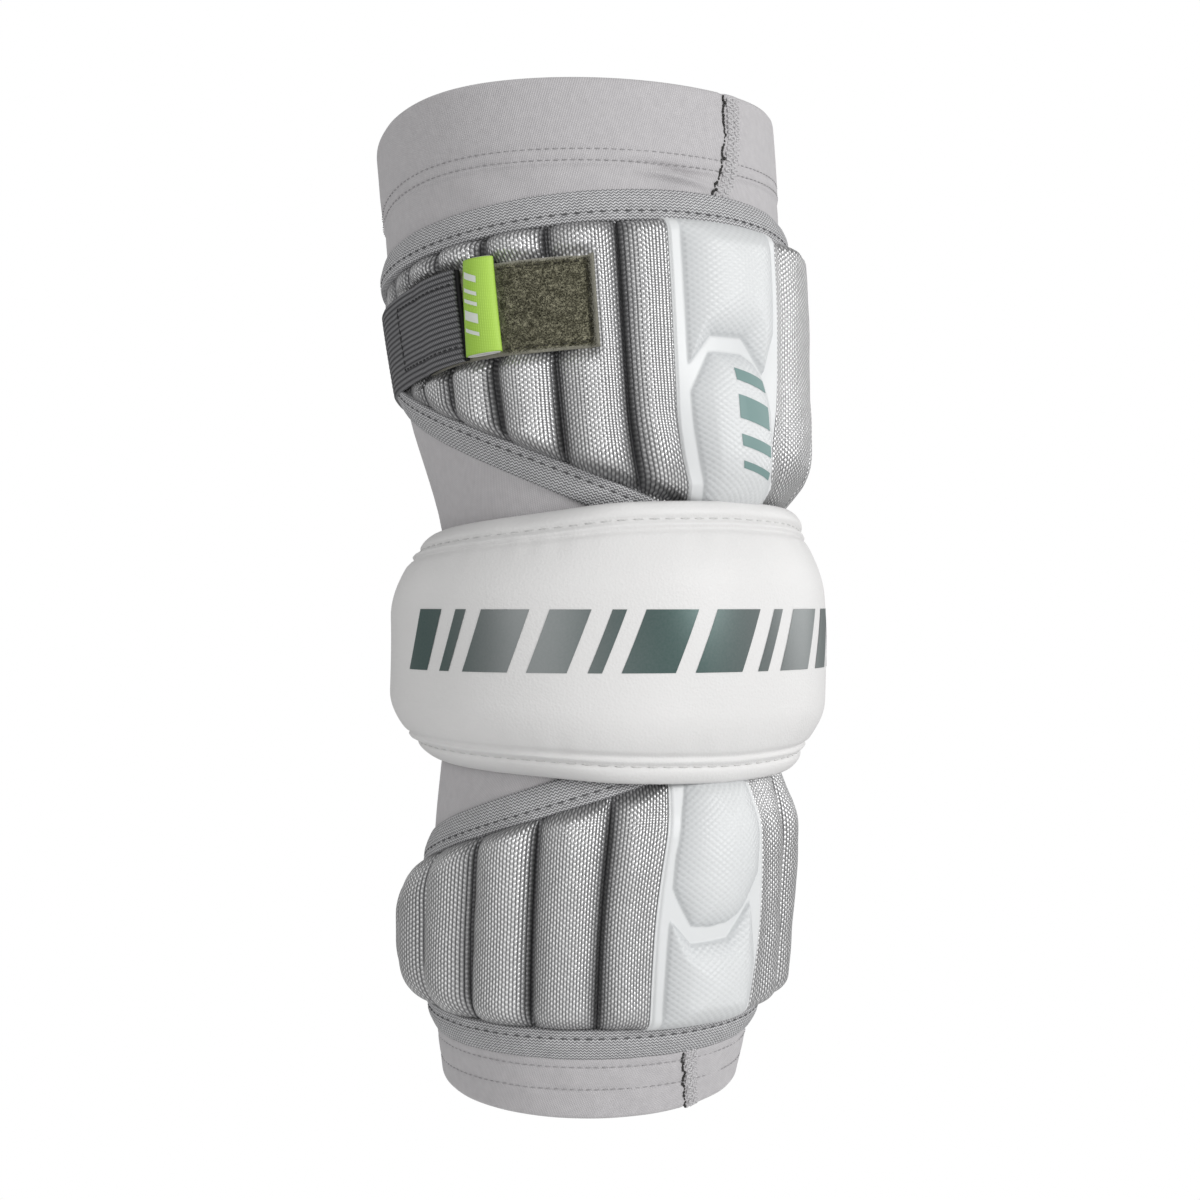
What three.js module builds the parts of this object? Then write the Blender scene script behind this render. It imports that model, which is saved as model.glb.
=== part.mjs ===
// A lacrosse arm pad, standing as it is worn round a slightly bent arm, in millimetres.
// A knitted sleeve carries a ribbed pad on the upper arm and another on the forearm. Each pad
// has a moulded panel down its front and a woven tape bound round its edge. A padded cap wraps
// the elbow, and an elastic strap goes round the upper arm and closes on a loop patch.
//
// +Z is up the arm to the shoulder, -Y is the front, where the elbow points, and the origin
// lies on the arm's middle line at the elbow. Every piece is placed by three numbers: a turn
// round the arm in degrees (0 is the front, positive towards +X), a height, and a distance
// out from the sleeve.
import * as THREE from "three";

const DEGREES = Math.PI / 180;
const GAP = 0.6; // left between pieces that are sewn together
const UNDER = 0.9; // left under a broad piece that lies on another

// The arm
const UPPER_ARM_LEAN = 0.134; // how far the middle line goes back for each mm up
const FOREARM_LEAN = 0.088; // and for each mm down
const ELBOW_EASE = 25; // height over which the bend is spread
const SLEEVE_SHAPE = [
  { z: -160, radius: 42.6 },
  { z: -132, radius: 43.7 },
  { z: -118, radius: 45.9 },
  { z: -100, radius: 48.3 },
  { z: -80, radius: 50 },
  { z: -55, radius: 50 },
  { z: -30, radius: 48.6 },
  { z: 0, radius: 48 },
  { z: 32, radius: 48.6 },
  { z: 42, radius: 50.2 },
  { z: 52, radius: 52.5 },
  { z: 66, radius: 55.8 },
  { z: 80, radius: 57.6 },
  { z: 100, radius: 59.2 },
  { z: 130, radius: 60 },
  { z: 165, radius: 60.5 },
];

// The sleeve
const KNIT = 1.3; // wall of the knit
const HEM_OUT = 0.5; // a hem is folded, so it stands out by this much
const HEM_IN = 2.2; // and in to this much
const TOP_HEM = 24.5; // depth of the hem at the upper arm
const TOP_RIM = [
  { turn: -170, z: 143.5 },
  { turn: -120, z: 145.6 },
  { turn: -96, z: 150.2 },
  { turn: -77, z: 153 },
  { turn: -57, z: 154.3 },
  { turn: 0, z: 154.7 },
  { turn: 48, z: 157 },
  { turn: 100, z: 155 },
  { turn: 150, z: 147 },
  { turn: 190, z: 143.5 },
];
const CUFF_RIM = -130.2; // middle height of the rim at the wrist end
const CUFF_TILT = 3.5;
const CUFF_LOWEST = -36; // turn at which that rim is lowest
const CUFF_SHOWS = 1.4; // the hem at the wrist end starts this far below the forearm tape
const SLEEVE_SIDES = 36;
const SLEEVE_HEIGHTS = [-102, -78, -50, 0, 34, 46, 58, 72, 100];

// The ribbed pads
const PAD_EDGE = 1.4; // thickness of a pad at its bound edge
const GROOVE = 3.2; // and along the sewn lines between its ribs
const RIB_SIDE = 0.18; // where a rib's shoulder is, as a share of its width
const RIB_SHOULDER = 0.76; // height of the shoulder, as a share of the rib's
const LEAST_RIB = 0.6; // a rib stands at least this far above a pad's edge
const CORNER = 9; // radius of a pad's back corners
const BACK_END = 140; // turn at which both pads end
const FLAT_END = [0, 3, 6.2]; // turns before that, of the columns of a pad's flat end
const BACK_TURNS = [62, 118]; // turns between which the ribs come to their height at the back
const PANEL_SUPPORT = [0.25, 0.5, 0.75]; // the pad's columns under a panel, as shares of its width
const PANEL_SINK = 4.4; // the pad under a panel is lower than the ribs by this much
const NARROW_RIB = 14; // a rib narrower than this has two points across it, not three
const NARROW_SIDE = 0.28;
const NARROW_CROWN = 0.93;
const EDGE_BEND = 6; // turn over which a pad's edge bends
const RIB_END = 2; // the first row of a rib is this far in from the tape
const ELBOW_ROWS = [11.7, 21.2]; // more rows, this far from the edge at the elbow
const ROW_STEP = 1.5; // least height between rows
const LEAST_PAD = 28; // where a pad is lower than this, its rows are squeezed

const UPPER = {
  turn: 0.5,
  toElbow: -1,
  grooves: [-130, -117, -104, -91, -77.5, -62.5, -46, -29.5, -16.4, 16.4, 50, 66, 82, 98, 113, 128],
  panelHalf: [
    { z: 28, half: 13.5 },
    { z: 39, half: 14.8 },
    { z: 66, half: 16.3 },
    { z: 125, half: 16.5 },
  ],
  top: [
    { z: 28, radius: 51.3 },
    { z: 35, radius: 53.2 },
    { z: 39, radius: 55.2 },
    { z: 43, radius: 58.6 },
    { z: 47, radius: 61.8 },
    { z: 52, radius: 64 },
    { z: 61, radius: 65.2 },
    { z: 80, radius: 66.2 },
    { z: 96, radius: 67.8 },
    { z: 125, radius: 69 },
  ],
  backRise: -7, // the ribs get lower towards the back
  elbowFade: 8, // length over which a rib falls to the edge at the elbow
  farFade: 4.5, // and at the far end
  edge: {
    low: (turn) => elbowEdge(turn, { level: 29, left: 5, leftRise: 0.385, right: 60, rightRise: 0.5 }),
    high: (turn) => 111.9 + 8.7 * Math.cos(turn * DEGREES),
  },
  middleRows: (turn, low) => {
    const belowStrap = strapMiddle(turn) - STRAP_HALF - 0.5;
    const second = Math.max(low + ELBOW_ROWS[0] + ROW_STEP, Math.min(low + ELBOW_ROWS[1], belowStrap));
    const aboveStrap = strapMiddle(turn) + STRAP_HALF + 0.5;
    return [low + ELBOW_ROWS[0], second, (second + belowStrap) / 2, belowStrap, aboveStrap];
  },
};
const FOREARM = {
  turn: -3.8,
  toElbow: 1,
  grooves: [-134, -116, -91, -72.5, -51.5, -32, -16.8, 16.8, 36, 56, 75, 94, 114, 131],
  panelHalf: [
    { z: -112, half: 16.8 },
    { z: -75, half: 17.3 },
    { z: -39, half: 14 },
    { z: -28, half: 13 },
  ],
  top: [
    { z: -115, radius: 58 },
    { z: -88, radius: 58.9 },
    { z: -60, radius: 59.2 },
    { z: -53, radius: 58.6 },
    { z: -48, radius: 57.3 },
    { z: -44, radius: 55.6 },
    { z: -39, radius: 53.4 },
    { z: -35, radius: 52 },
    { z: -28, radius: 51 },
  ],
  backRise: 2.1,
  elbowFade: 8,
  farFade: 11,
  edge: {
    low: (turn) => -110.2 - 0.9 * Math.cos((turn + 50) * DEGREES),
    high: (turn) => -elbowEdge(turn, { level: 29.4, left: 4, leftRise: 0.292, right: 60, rightRise: 0.4 }),
  },
  middleRows: (turn, low, high) => {
    const nearElbow = ELBOW_ROWS.map((inset) => high - inset).reverse();
    return [low + 13, (low + high) / 2, high - 30, ...nearElbow];
  },
};

// The tape bound round a pad's edge
const TAPE_REACH = 4.2; // how far it reaches to each side of the pad's edge
const TAPE = 1; // its thickness
const TAPE_STEP = 10; // turn between two of its sections
const TAPE_MARGIN = 5.4; // height that it takes up at the edge of a pad, where it runs aslant

// The moulded panels
const PANEL = 2; // thickness along the flat border lines
const PILLOW = 2.8; // how far the pillows between the lines stand up
const CHEVRON_TURNS = [
  { at: -1, rise: -1 },
  { at: -0.38, rise: 0 },
  { at: 0.28, rise: 0 },
  { at: 1, rise: -1 },
];
const CHEVRON_DROP = 10; // the line across a panel is this much nearer the elbow at its ends
const LINE = 2.4; // half the height of that line
const PANEL_COLUMNS = [-1, -0.84, -0.5, 0, 0.5, 0.84, 1]; // as shares of half its width
const PANEL_BORDER = 0.83; // its flat border starts at this share

// The elbow cap
const CAP_END = 148;
const CAP_EDGES = [
  { turn: 0, high: 39.4, low: -38.6 },
  { turn: 30, high: 38.5, low: -37.9 },
  { turn: 50, high: 36.5, low: -36.9 },
  { turn: 80, high: 34, low: -35.7 },
  { turn: 122, high: 31, low: -34 },
  { turn: 150, high: 30, low: -33 },
];
const CAP_CROWN = 64.8; // radius at the middle of the cap
const CAP_ON_PADS = { high: 58.4, low: 56.6 }; // radius of its edges where they lie on the pads
const CAP_EDGE_HEIGHT = 34; // about how far from the elbow its edges are
const LEAVES_PADS = { left: [28, 62], right: [72, 108] }; // turns where its edges leave the pads
const CAP_END_COLUMNS = [0, 2, 6, 12]; // turns before its end, of the columns there
const CAP_MIDDLE = 20; // turn before its end at which the even columns start
const CAP_STEP = 9; // turn between those
const CAP_FLANGE = 2.2; // thickness of its sewn edge
const CAP_ROWS = [0, 3.5, 6.5, 11, 18]; // rows in from each edge of the cap
const CAP_FOAM = 7.5; // extra thickness of the foam at its middle
const FLANGE_WIDTH = 6.5;
const WELT_RISE = { high: 0.65, low: 0.8 }; // share of the way to WELT_RADIUS that the flange rises
const WELT_RADIUS = 60;
const CROWN_RISE = { high: 18, low: 13 }; // width from the flange to the crown, above and below
const CAP_END_ROUND = 24; // degrees over which its ends are rounded
const CAP_END_HEIGHT = 0.36; // share of its height that is left at its ends

// The strap, the patch it closes on and the pull tab at its end
const STRAP = 1.4;
const STRAP_HALF = 12.7; // half of a 25 mm webbing
const STRAP_START = -242; // it is sewn on behind the right-hand end of the pad
const STRAP_END = -68.3;
const STRAP_PRESS = 2.4; // how far it presses the ribs down
const PRESS_FADE = [1, 5]; // width beside it over which the ribs rise again
const PRESSED_FROM = { left: [33, 38], right: [108, 116] }; // turns where it starts to press
const STRAP_PATH = [
  { turn: -245, z: 83 },
  { turn: -180, z: 79 },
  { turn: -120, z: 84.6 },
  { turn: -104, z: 86 },
  { turn: -90, z: 87.4 },
  { turn: -68, z: 90.2 },
  { turn: -50, z: 91.6 },
  { turn: -34, z: 92.8 },
];
const PATCH = 1.5;
const PATCH_HALF = 12.7;
const PATCH_TURNS = [-84, -78, -72, -66, -59, -52, -45, -39.5, -34];
const TAB = { from: -66.8, to: -57.8, half: 12.9, wall: 0.9, height: 3.4, raised: 1, slant: 0.12 };

// Reads a table of named columns at x, smoothly.
function smoothTable(table, from, to, x) {
  const last = table.length - 1;
  if (x <= table[0][from]) return table[0][to];
  if (x >= table[last][from]) return table[last][to];
  const i = table.findIndex((row) => row[from] > x) - 1;
  const slopeAt = (k) => {
    const a = table[Math.max(k - 1, 0)];
    const b = table[Math.min(k + 1, last)];
    return (b[to] - a[to]) / (b[from] - a[from]);
  };
  const width = table[i + 1][from] - table[i][from];
  const t = (x - table[i][from]) / width;
  return (
    (1 + 2 * t) * (1 - t) ** 2 * table[i][to] +
    t * (1 - t) ** 2 * width * slopeAt(i) +
    t * t * (3 - 2 * t) * table[i + 1][to] -
    t * t * (1 - t) * width * slopeAt(i + 1)
  );
}

function ease(low, high, x) {
  return THREE.MathUtils.smoothstep(x, low, high);
}

function armMiddleY(z) {
  const lean = z > 0 ? UPPER_ARM_LEAN : FOREARM_LEAN;
  return lean * (Math.hypot(z, ELBOW_EASE) - ELBOW_EASE);
}

function sleeveRadius(z) {
  return smoothTable(SLEEVE_SHAPE, "z", "radius", z);
}

// The point at a turn, a height and a distance out from the sleeve.
function onArm(turn, z, out) {
  const radius = sleeveRadius(z) + out;
  return new THREE.Vector3(
    radius * Math.sin(turn * DEGREES),
    armMiddleY(z) - radius * Math.cos(turn * DEGREES),
    z,
  );
}

// An edge that is level near the front and runs away from the elbow on both sides of it.
function elbowEdge(turn, { level, left, leftRise, right, rightRise }) {
  const past = (start) => (start + Math.hypot(start, EDGE_BEND)) / 2;
  return level + leftRise * past(-turn - left) + rightRise * past(turn - right);
}

function closedSolid(points, triangles) {
  let volume = 0;
  for (let t = 0; t < triangles.length; t += 3) {
    const [a, b, c] = [0, 1, 2].map((k) => points[triangles[t + k]]);
    volume += a.dot(b.clone().cross(c));
  }
  if (volume < 0) triangles.reverse();
  const geometry = new THREE.BufferGeometry().setFromPoints(points);
  geometry.setIndex(triangles);
  geometry.computeVertexNormals();
  return geometry;
}

// A wall between two grids of points, outer[i][j] and inner[i][j]. It closes on itself along i
// where ring is true.
function wall(outer, inner, ring = false) {
  const columns = outer.length;
  const rows = outer[0].length;
  const points = [...outer.flat(), ...inner.flat()];
  const triangles = [];
  const outside = (i, j) => (i % columns) * rows + j;
  const inside = (i, j) => columns * rows + outside(i, j);
  const quad = (a, b, c, d) => triangles.push(a, b, c, a, c, d);
  const spans = ring ? columns : columns - 1;
  for (let i = 0; i < spans; i++) {
    for (let j = 0; j < rows - 1; j++) {
      quad(outside(i, j), outside(i + 1, j), outside(i + 1, j + 1), outside(i, j + 1));
      quad(inside(i, j), inside(i, j + 1), inside(i + 1, j + 1), inside(i + 1, j));
    }
    quad(outside(i, 0), inside(i, 0), inside(i + 1, 0), outside(i + 1, 0));
    const top = rows - 1;
    quad(outside(i, top), outside(i + 1, top), inside(i + 1, top), inside(i, top));
  }
  if (!ring) {
    const end = columns - 1;
    for (let j = 0; j < rows - 1; j++) {
      quad(outside(0, j), outside(0, j + 1), inside(0, j + 1), inside(0, j));
      quad(outside(end, j), inside(end, j), inside(end, j + 1), outside(end, j + 1));
    }
  }
  return closedSolid(points, triangles);
}

// A closed strip whose section i is the polygon sections[i].
function loop(sections) {
  const corners = sections[0].length;
  const triangles = [];
  const at = (i, k) => (i % sections.length) * corners + (k % corners);
  for (let i = 0; i < sections.length; i++) {
    for (let k = 0; k < corners; k++) {
      const [a, b, c, d] = [at(i, k), at(i + 1, k), at(i + 1, k + 1), at(i, k + 1)];
      triangles.push(a, b, c, a, c, d);
    }
  }
  return closedSolid(sections.flat(), triangles);
}

function evenSteps(from, to, step) {
  const count = Math.max(1, Math.round(Math.abs(to - from) / step));
  return Array.from({ length: count + 1 }, (_, i) => from + ((to - from) * i) / count);
}

const cloth = (colour, roughness) =>
  new THREE.MeshStandardMaterial({ color: colour, roughness, metalness: 0 });
const MATERIALS = {
  knit: cloth(0xa9a8aa, 0.85),
  ribCloth: cloth(0x9fa1a4, 0.6),
  tape: cloth(0xa4a6a8, 0.75),
  panel: cloth(0xe6e9ea, 0.5),
  cap: cloth(0xe9e8e7, 0.45),
  webbing: cloth(0x66666b, 0.8),
  loops: cloth(0x5c5a48, 0.95),
  tab: cloth(0x8cb82f, 0.6),
};

const armPad = new THREE.Group();

function add(name, geometry, material) {
  const mesh = new THREE.Mesh(geometry, material);
  mesh.name = name;
  armPad.add(mesh);
}

// The sleeve, open at both ends, with a folded hem at each
function topRim(turn) {
  const seen = THREE.MathUtils.euclideanModulo(turn - TOP_RIM[0].turn, 360) + TOP_RIM[0].turn;
  return smoothTable(TOP_RIM, "turn", "z", seen);
}

function cuffRim(turn) {
  return CUFF_RIM - CUFF_TILT * Math.cos((turn - CUFF_LOWEST) * DEGREES);
}

function sleeve() {
  const outer = [];
  const inner = [];
  for (let i = 0; i < SLEEVE_SIDES; i++) {
    const turn = (360 / SLEEVE_SIDES) * i;
    const hemmed = (z) => ({ z, out: HEM_OUT, in: HEM_IN });
    const plain = (z) => ({ z, out: 0, in: KNIT });
    const cuffHem = FOREARM.edge.low(turn) - TAPE_REACH - CUFF_SHOWS;
    const rows = [
      hemmed(cuffRim(turn)),
      hemmed(cuffHem),
      plain(cuffHem + 1),
      ...SLEEVE_HEIGHTS.map(plain),
      plain(topRim(turn) - TOP_HEM - 1),
      hemmed(topRim(turn) - TOP_HEM),
      hemmed(topRim(turn)),
    ];
    outer.push(rows.map((row) => onArm(turn, row.z, row.out)));
    inner.push(rows.map((row) => onArm(turn, row.z, -row.in)));
  }
  return wall(outer, inner, true);
}

// Where a pad's outline is, with its rounded back corners.
function cornerCut(turn) {
  const cornerTurn = CORNER;
  const into = Math.abs(turn) - (BACK_END - cornerTurn);
  return into <= 0 ? 0 : CORNER * (1 - Math.sqrt(Math.max(0, 1 - (into / cornerTurn) ** 2)));
}

function lowEdge(pad, turn) {
  return pad.edge.low(turn) + cornerCut(turn);
}

function highEdge(pad, turn) {
  return pad.edge.high(turn) - cornerCut(turn);
}

// The turn of the sewn line at each side of the panel.
function panelEdge(pad) {
  return pad.grooves.find((groove) => groove > 0);
}

// A turn on a pad, fanned so that its inner sewn lines follow the panel's sides.
function fanned(pad, turn, z) {
  const widest = panelEdge(pad);
  const spare = smoothTable(pad.panelHalf, "z", "half", z) - widest;
  const share = Math.min(Math.abs(turn) / widest, 1) * (1 - ease(widest, 46, Math.abs(turn)));
  return pad.turn + turn + Math.sign(turn) * spare * share;
}

// Height of the strap's middle line, which the loop patch shares.
function strapMiddle(turn) {
  return smoothTable(STRAP_PATH, "turn", "z", turn > 60 ? turn - 360 : turn);
}

// How far the strap and the patch press the upper pad down, from 0 to 1.
function pressed(turn, z) {
  const away = Math.abs(z - strapMiddle(turn));
  const across = 1 - ease(STRAP_HALF + PRESS_FADE[0], STRAP_HALF + PRESS_FADE[1], away);
  const left = ease(...PRESSED_FROM.left, -turn);
  const right = ease(...PRESSED_FROM.right, turn);
  return across * Math.max(left, right);
}

// Height of a pad's ribs above the sleeve.
function ribTop(pad, turn, z) {
  const radius = smoothTable(pad.top, "z", "radius", z);
  const back = pad.backRise * ease(...BACK_TURNS, Math.abs(turn));
  const press = pad === UPPER ? STRAP_PRESS * pressed(turn, z) : 0;
  return Math.max(radius + back - sleeveRadius(z) - press, PAD_EDGE + LEAST_RIB);
}

// How much of its height a rib has, this far from the pad's edges.
function ribFade(pad, turn, z) {
  const upwards = pad === UPPER;
  const low = z - lowEdge(pad, turn) - TAPE_MARGIN;
  const high = highEdge(pad, turn) - z - TAPE_MARGIN;
  const round = (away, length) => {
    const t = THREE.MathUtils.clamp(away / length, 0, 1);
    return Math.sqrt(1 - (1 - t) ** 2);
  };
  const atLow = round(low, upwards ? pad.elbowFade : pad.farFade);
  const atHigh = round(high, upwards ? pad.farFade : pad.elbowFade);
  return atLow * atHigh;
}

// The columns of a pad: its sewn lines, the points across each rib, and its flat ends.
function padColumns(pad) {
  const flatEnd = FLAT_END.map((inwards) => ({ turn: BACK_END - inwards, edge: true }));
  const columns = flatEnd.map(({ turn, edge }) => ({ turn: -turn, edge }));
  pad.grooves.forEach((line, i) => {
    const next = pad.grooves[i + 1];
    const width = next - line;
    const point = (at, height) => ({ turn: line + width * at, height });
    columns.push({ turn: line, height: 0, seam: Math.abs(line) === panelEdge(pad) });
    if (next === undefined) return;
    if (line < 0 && next > 0) {
      columns.push(...PANEL_SUPPORT.map((at) => ({ turn: line + width * at, panel: true })));
    } else if (width < NARROW_RIB) {
      columns.push(point(NARROW_SIDE, NARROW_CROWN), point(1 - NARROW_SIDE, NARROW_CROWN));
    } else {
      columns.push(point(RIB_SIDE, RIB_SHOULDER), point(0.5, 1), point(1 - RIB_SIDE, RIB_SHOULDER));
    }
  });
  return [...columns, ...flatEnd.reverse()];
}

// The heights of a pad's rows at a turn.
function padRows(pad, turn) {
  const low = lowEdge(pad, turn);
  const high = highEdge(pad, turn);
  const top = Math.max(high, low + LEAST_PAD);
  const margins = [0, TAPE_MARGIN, TAPE_MARGIN + RIB_END];
  const asked = pad.middleRows(turn, low, top);
  const ceiling = top - margins.at(-1);
  let reached = low + margins.at(-1);
  const middle = asked.map((z, i) => {
    const most = ceiling - ROW_STEP * (asked.length - i);
    reached = THREE.MathUtils.clamp(z, reached + ROW_STEP, most);
    return reached;
  });
  const topRows = margins.map((margin) => top - margin).reverse();
  const rows = [...margins.map((margin) => low + margin), ...middle, ...topRows];
  return rows.map((z) => low + ((z - low) * (high - low)) / (top - low));
}

function underPanel(pad, turn, z) {
  return Math.max(ribTop(pad, turn, z) * ribFade(pad, turn, z) - PANEL_SINK, PAD_EDGE);
}

function padOut(pad, column, z) {
  if (column.edge) return PAD_EDGE;
  if (column.panel) return underPanel(pad, column.turn, z);
  if (column.seam) return Math.min(GROOVE, underPanel(pad, column.turn, z));
  const fade = ribFade(pad, column.turn, z);
  const sewn = Math.min(GROOVE, PAD_EDGE + 2 * fade);
  return sewn + Math.max(0, ribTop(pad, column.turn, z) - sewn) * column.height * fade;
}

function ribbedPad(pad) {
  const outer = [];
  const inner = [];
  for (const column of padColumns(pad)) {
    const rows = padRows(pad, column.turn);
    const isEdge = (j) => j < 2 || j > rows.length - 3;
    outer.push(
      rows.map((z, j) => {
        const out = isEdge(j) ? PAD_EDGE : padOut(pad, column, z);
        return onArm(fanned(pad, column.turn, z), z, out);
      }),
    );
    inner.push(rows.map((z) => onArm(fanned(pad, column.turn, z), z, UNDER)));
  }
  return wall(outer, inner);
}

// The line of a pad's edge, once round, as turns and heights.
function padOutline(pad) {
  const corner = [0, 0.6, 3, 6.2].map((inwards) => BACK_END - inwards);
  const middle = evenSteps(-(BACK_END - CORNER), BACK_END - CORNER, TAPE_STEP);
  const turns = [...corner.map((turn) => -turn), ...middle, ...corner.reverse()];
  const bottom = turns.map((turn) => ({ turn, z: lowEdge(pad, turn) }));
  const top = turns.map((turn) => ({ turn, z: highEdge(pad, turn) })).reverse();
  const side = (a, b) =>
    [1, 2].map((k) => ({ turn: a.turn, z: THREE.MathUtils.lerp(a.z, b.z, k / 3) }));
  return [
    ...bottom,
    ...side(bottom.at(-1), top[0]),
    ...top,
    ...side(top.at(-1), bottom[0]),
  ];
}

// The tape lies on the pad's edge, and beyond the edge it comes down to the sleeve.
function boundTape(pad) {
  const outline = padOutline(pad);
  const over = PAD_EDGE + GAP;
  const section = [
    { across: TAPE_REACH, out: GAP },
    { across: TAPE_REACH, out: GAP + TAPE },
    { across: 0.6, out: over + TAPE },
    { across: -TAPE_REACH, out: over + TAPE },
    { across: -TAPE_REACH, out: over },
    { across: GAP, out: over },
  ];
  const sections = outline.map((here, i) => {
    const before = outline.at(i - 1);
    const after = outline[(i + 1) % outline.length];
    const perDegree = sleeveRadius(here.z) * DEGREES;
    const along = new THREE.Vector2((after.turn - before.turn) * perDegree, after.z - before.z);
    along.normalize();
    return section.map(({ across, out }) => {
      const turn = here.turn + (across * along.y) / perDegree;
      return onArm(turn + pad.turn, here.z - across * along.x, out);
    });
  });
  return loop(sections);
}

// A panel between two sewn lines of a pad. A raised pillow lies on each side of the line that
// crosses it, and the line bends towards the elbow at its ends.
function panel(pad, crossing) {
  const away = -pad.toElbow;
  const outer = [];
  const inner = [];
  for (const at of PANEL_COLUMNS) {
    const turn = at * (panelEdge(pad) - GAP);
    const ends = [lowEdge(pad, turn), highEdge(pad, turn)];
    const [elbowEnd, farEnd] = away > 0 ? ends : ends.reverse();
    const line = crossing + away * CHEVRON_DROP * smoothTable(CHEVRON_TURNS, "at", "rise", at);
    const rows = [
      { z: elbowEnd + away * TAPE_MARGIN, up: 0 },
      { z: elbowEnd + away * ELBOW_ROWS[0], up: 0.35 },
      { z: elbowEnd + away * ELBOW_ROWS[1], up: 1 },
      { z: line - away * (LINE + 4), up: 0.85 },
      { z: line - away * LINE, up: 0 },
      { z: line + away * LINE, up: 0 },
      { z: line + away * (LINE + 4), up: 0.85 },
      { z: (line + farEnd) / 2, up: 1 },
      { z: farEnd - away * (TAPE_MARGIN + 5), up: 0.85 },
      { z: farEnd - away * TAPE_MARGIN, up: 0 },
    ];
    const border = Math.abs(at) > PANEL_BORDER;
    const inwards = Math.min(1, 2 * (1 - Math.abs(at)));
    const seat = (z) => {
      const middle = underPanel(pad, turn, z);
      return THREE.MathUtils.lerp(Math.min(GROOVE, middle), middle, inwards) + UNDER;
    };
    outer.push(
      rows.map(({ z, up }) => {
        const pillow = border ? 0 : up * PILLOW * (1 - at * at * 0.5);
        return onArm(fanned(pad, turn, z), z, seat(z) + PANEL + pillow);
      }),
    );
    inner.push(rows.map(({ z }) => onArm(fanned(pad, turn, z), z, seat(z))));
  }
  return wall(outer, inner);
}

// The cap's middle height and half height at a turn, with its rounded ends.
function capSpan(turn) {
  const high = smoothTable(CAP_EDGES, "turn", "high", Math.abs(turn));
  const low = smoothTable(CAP_EDGES, "turn", "low", Math.abs(turn));
  const into = Math.max(0, Math.abs(turn) - (CAP_END - CAP_END_ROUND)) / CAP_END_ROUND;
  const rounding = CAP_END_HEIGHT + (1 - CAP_END_HEIGHT) * Math.sqrt(1 - into * into);
  return { middle: (high + low) / 2, half: ((high - low) / 2) * rounding };
}

// Radius of the cap's sewn edge, which lies on the pads in front and on the sleeve behind.
function capEdgeRadius(turn, side) {
  const onPads = side > 0 ? CAP_ON_PADS.high : CAP_ON_PADS.low;
  const onSleeve = sleeveRadius(side * CAP_EDGE_HEIGHT) + UNDER + CAP_FLANGE;
  const leaves = turn < 0 ? ease(...LEAVES_PADS.left, -turn) : ease(...LEAVES_PADS.right, turn);
  return THREE.MathUtils.lerp(onPads, onSleeve, leaves);
}

// A point of the cap's section: how high it is, how far out its face is and how thick it is.
function capPoint(turn, inset, side) {
  const { middle, half } = capSpan(turn);
  const fromEnd = (CAP_END - Math.abs(turn)) * CAP_CROWN * DEGREES;
  const distance = Math.min(inset, fromEnd);
  const end = side > 0 ? "high" : "low";
  const rise = CROWN_RISE[end];
  const crown = Math.sin(THREE.MathUtils.clamp((distance - FLANGE_WIDTH) / rise, 0, 1) * (Math.PI / 2));
  const edge = capEdgeRadius(turn, side);
  const welt = THREE.MathUtils.lerp(edge, WELT_RADIUS, WELT_RISE[end]);
  const flange = THREE.MathUtils.lerp(edge, welt, Math.min(distance / FLANGE_WIDTH, 1));
  const z = middle + side * (half - inset);
  const out = flange + (CAP_CROWN - welt) * crown - sleeveRadius(z);
  return { z, out, thick: CAP_FLANGE + CAP_FOAM * crown };
}

function elbowCap() {
  const ends = CAP_END_COLUMNS.map((inwards) => CAP_END - inwards);
  const middleTurns = evenSteps(CAP_MIDDLE - CAP_END, CAP_END - CAP_MIDDLE, CAP_STEP);
  const turns = [...ends.map((turn) => -turn), ...middleTurns, ...ends.reverse()];
  const outer = [];
  const inner = [];
  for (const turn of turns) {
    const { half } = capSpan(turn);
    const insets = CAP_ROWS.map((inset) => Math.min(inset, (half * inset) / CAP_EDGE_HEIGHT));
    const rows = [
      ...insets.map((inset) => capPoint(turn, inset, -1)),
      capPoint(turn, half, 1),
      ...insets.reverse().map((inset) => capPoint(turn, inset, 1)),
    ];
    outer.push(rows.map((row) => onArm(turn, row.z, row.out)));
    inner.push(rows.map((row) => onArm(turn, row.z, row.out - row.thick)));
  }
  return wall(outer, inner);
}

// What the strap and the patch lie on, above the sleeve.
function underStrap(turn, z) {
  const around = THREE.MathUtils.euclideanModulo(turn + 180, 360) - 180;
  const pad = Math.max(ribTop(UPPER, around - UPPER.turn, z), PAD_EDGE + TAPE + GAP);
  return THREE.MathUtils.lerp(pad, 0, ease(BACK_END + 5, BACK_END + 13, Math.abs(around)));
}

function strip(turns, half, seat, thickness, rows = 3) {
  const outer = [];
  const inner = [];
  for (const turn of turns) {
    const heights = evenSteps(-half, half, (2 * half) / (rows - 1));
    const at = (dz, extra) => {
      const z = strapMiddle(turn) + dz;
      return onArm(turn, z, seat(turn, z) + extra);
    };
    outer.push(heights.map((dz) => at(dz, thickness)));
    inner.push(heights.map((dz) => at(dz, 0)));
  }
  return wall(outer, inner);
}

function patchSeat(turn, z) {
  return underStrap(turn, z) + UNDER;
}

// The strap lies on the pad, and on the patch near its end.
function strapSeat(turn, z) {
  const onPatch = ease(PATCH_TURNS[0] - 8, PATCH_TURNS[0] - 1.5, turn) * (PATCH + GAP);
  return underStrap(turn, z) + UNDER + onPatch;
}

function strap() {
  return strip(evenSteps(STRAP_START, STRAP_END, 6.2), STRAP_HALF, strapSeat, STRAP);
}

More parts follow.
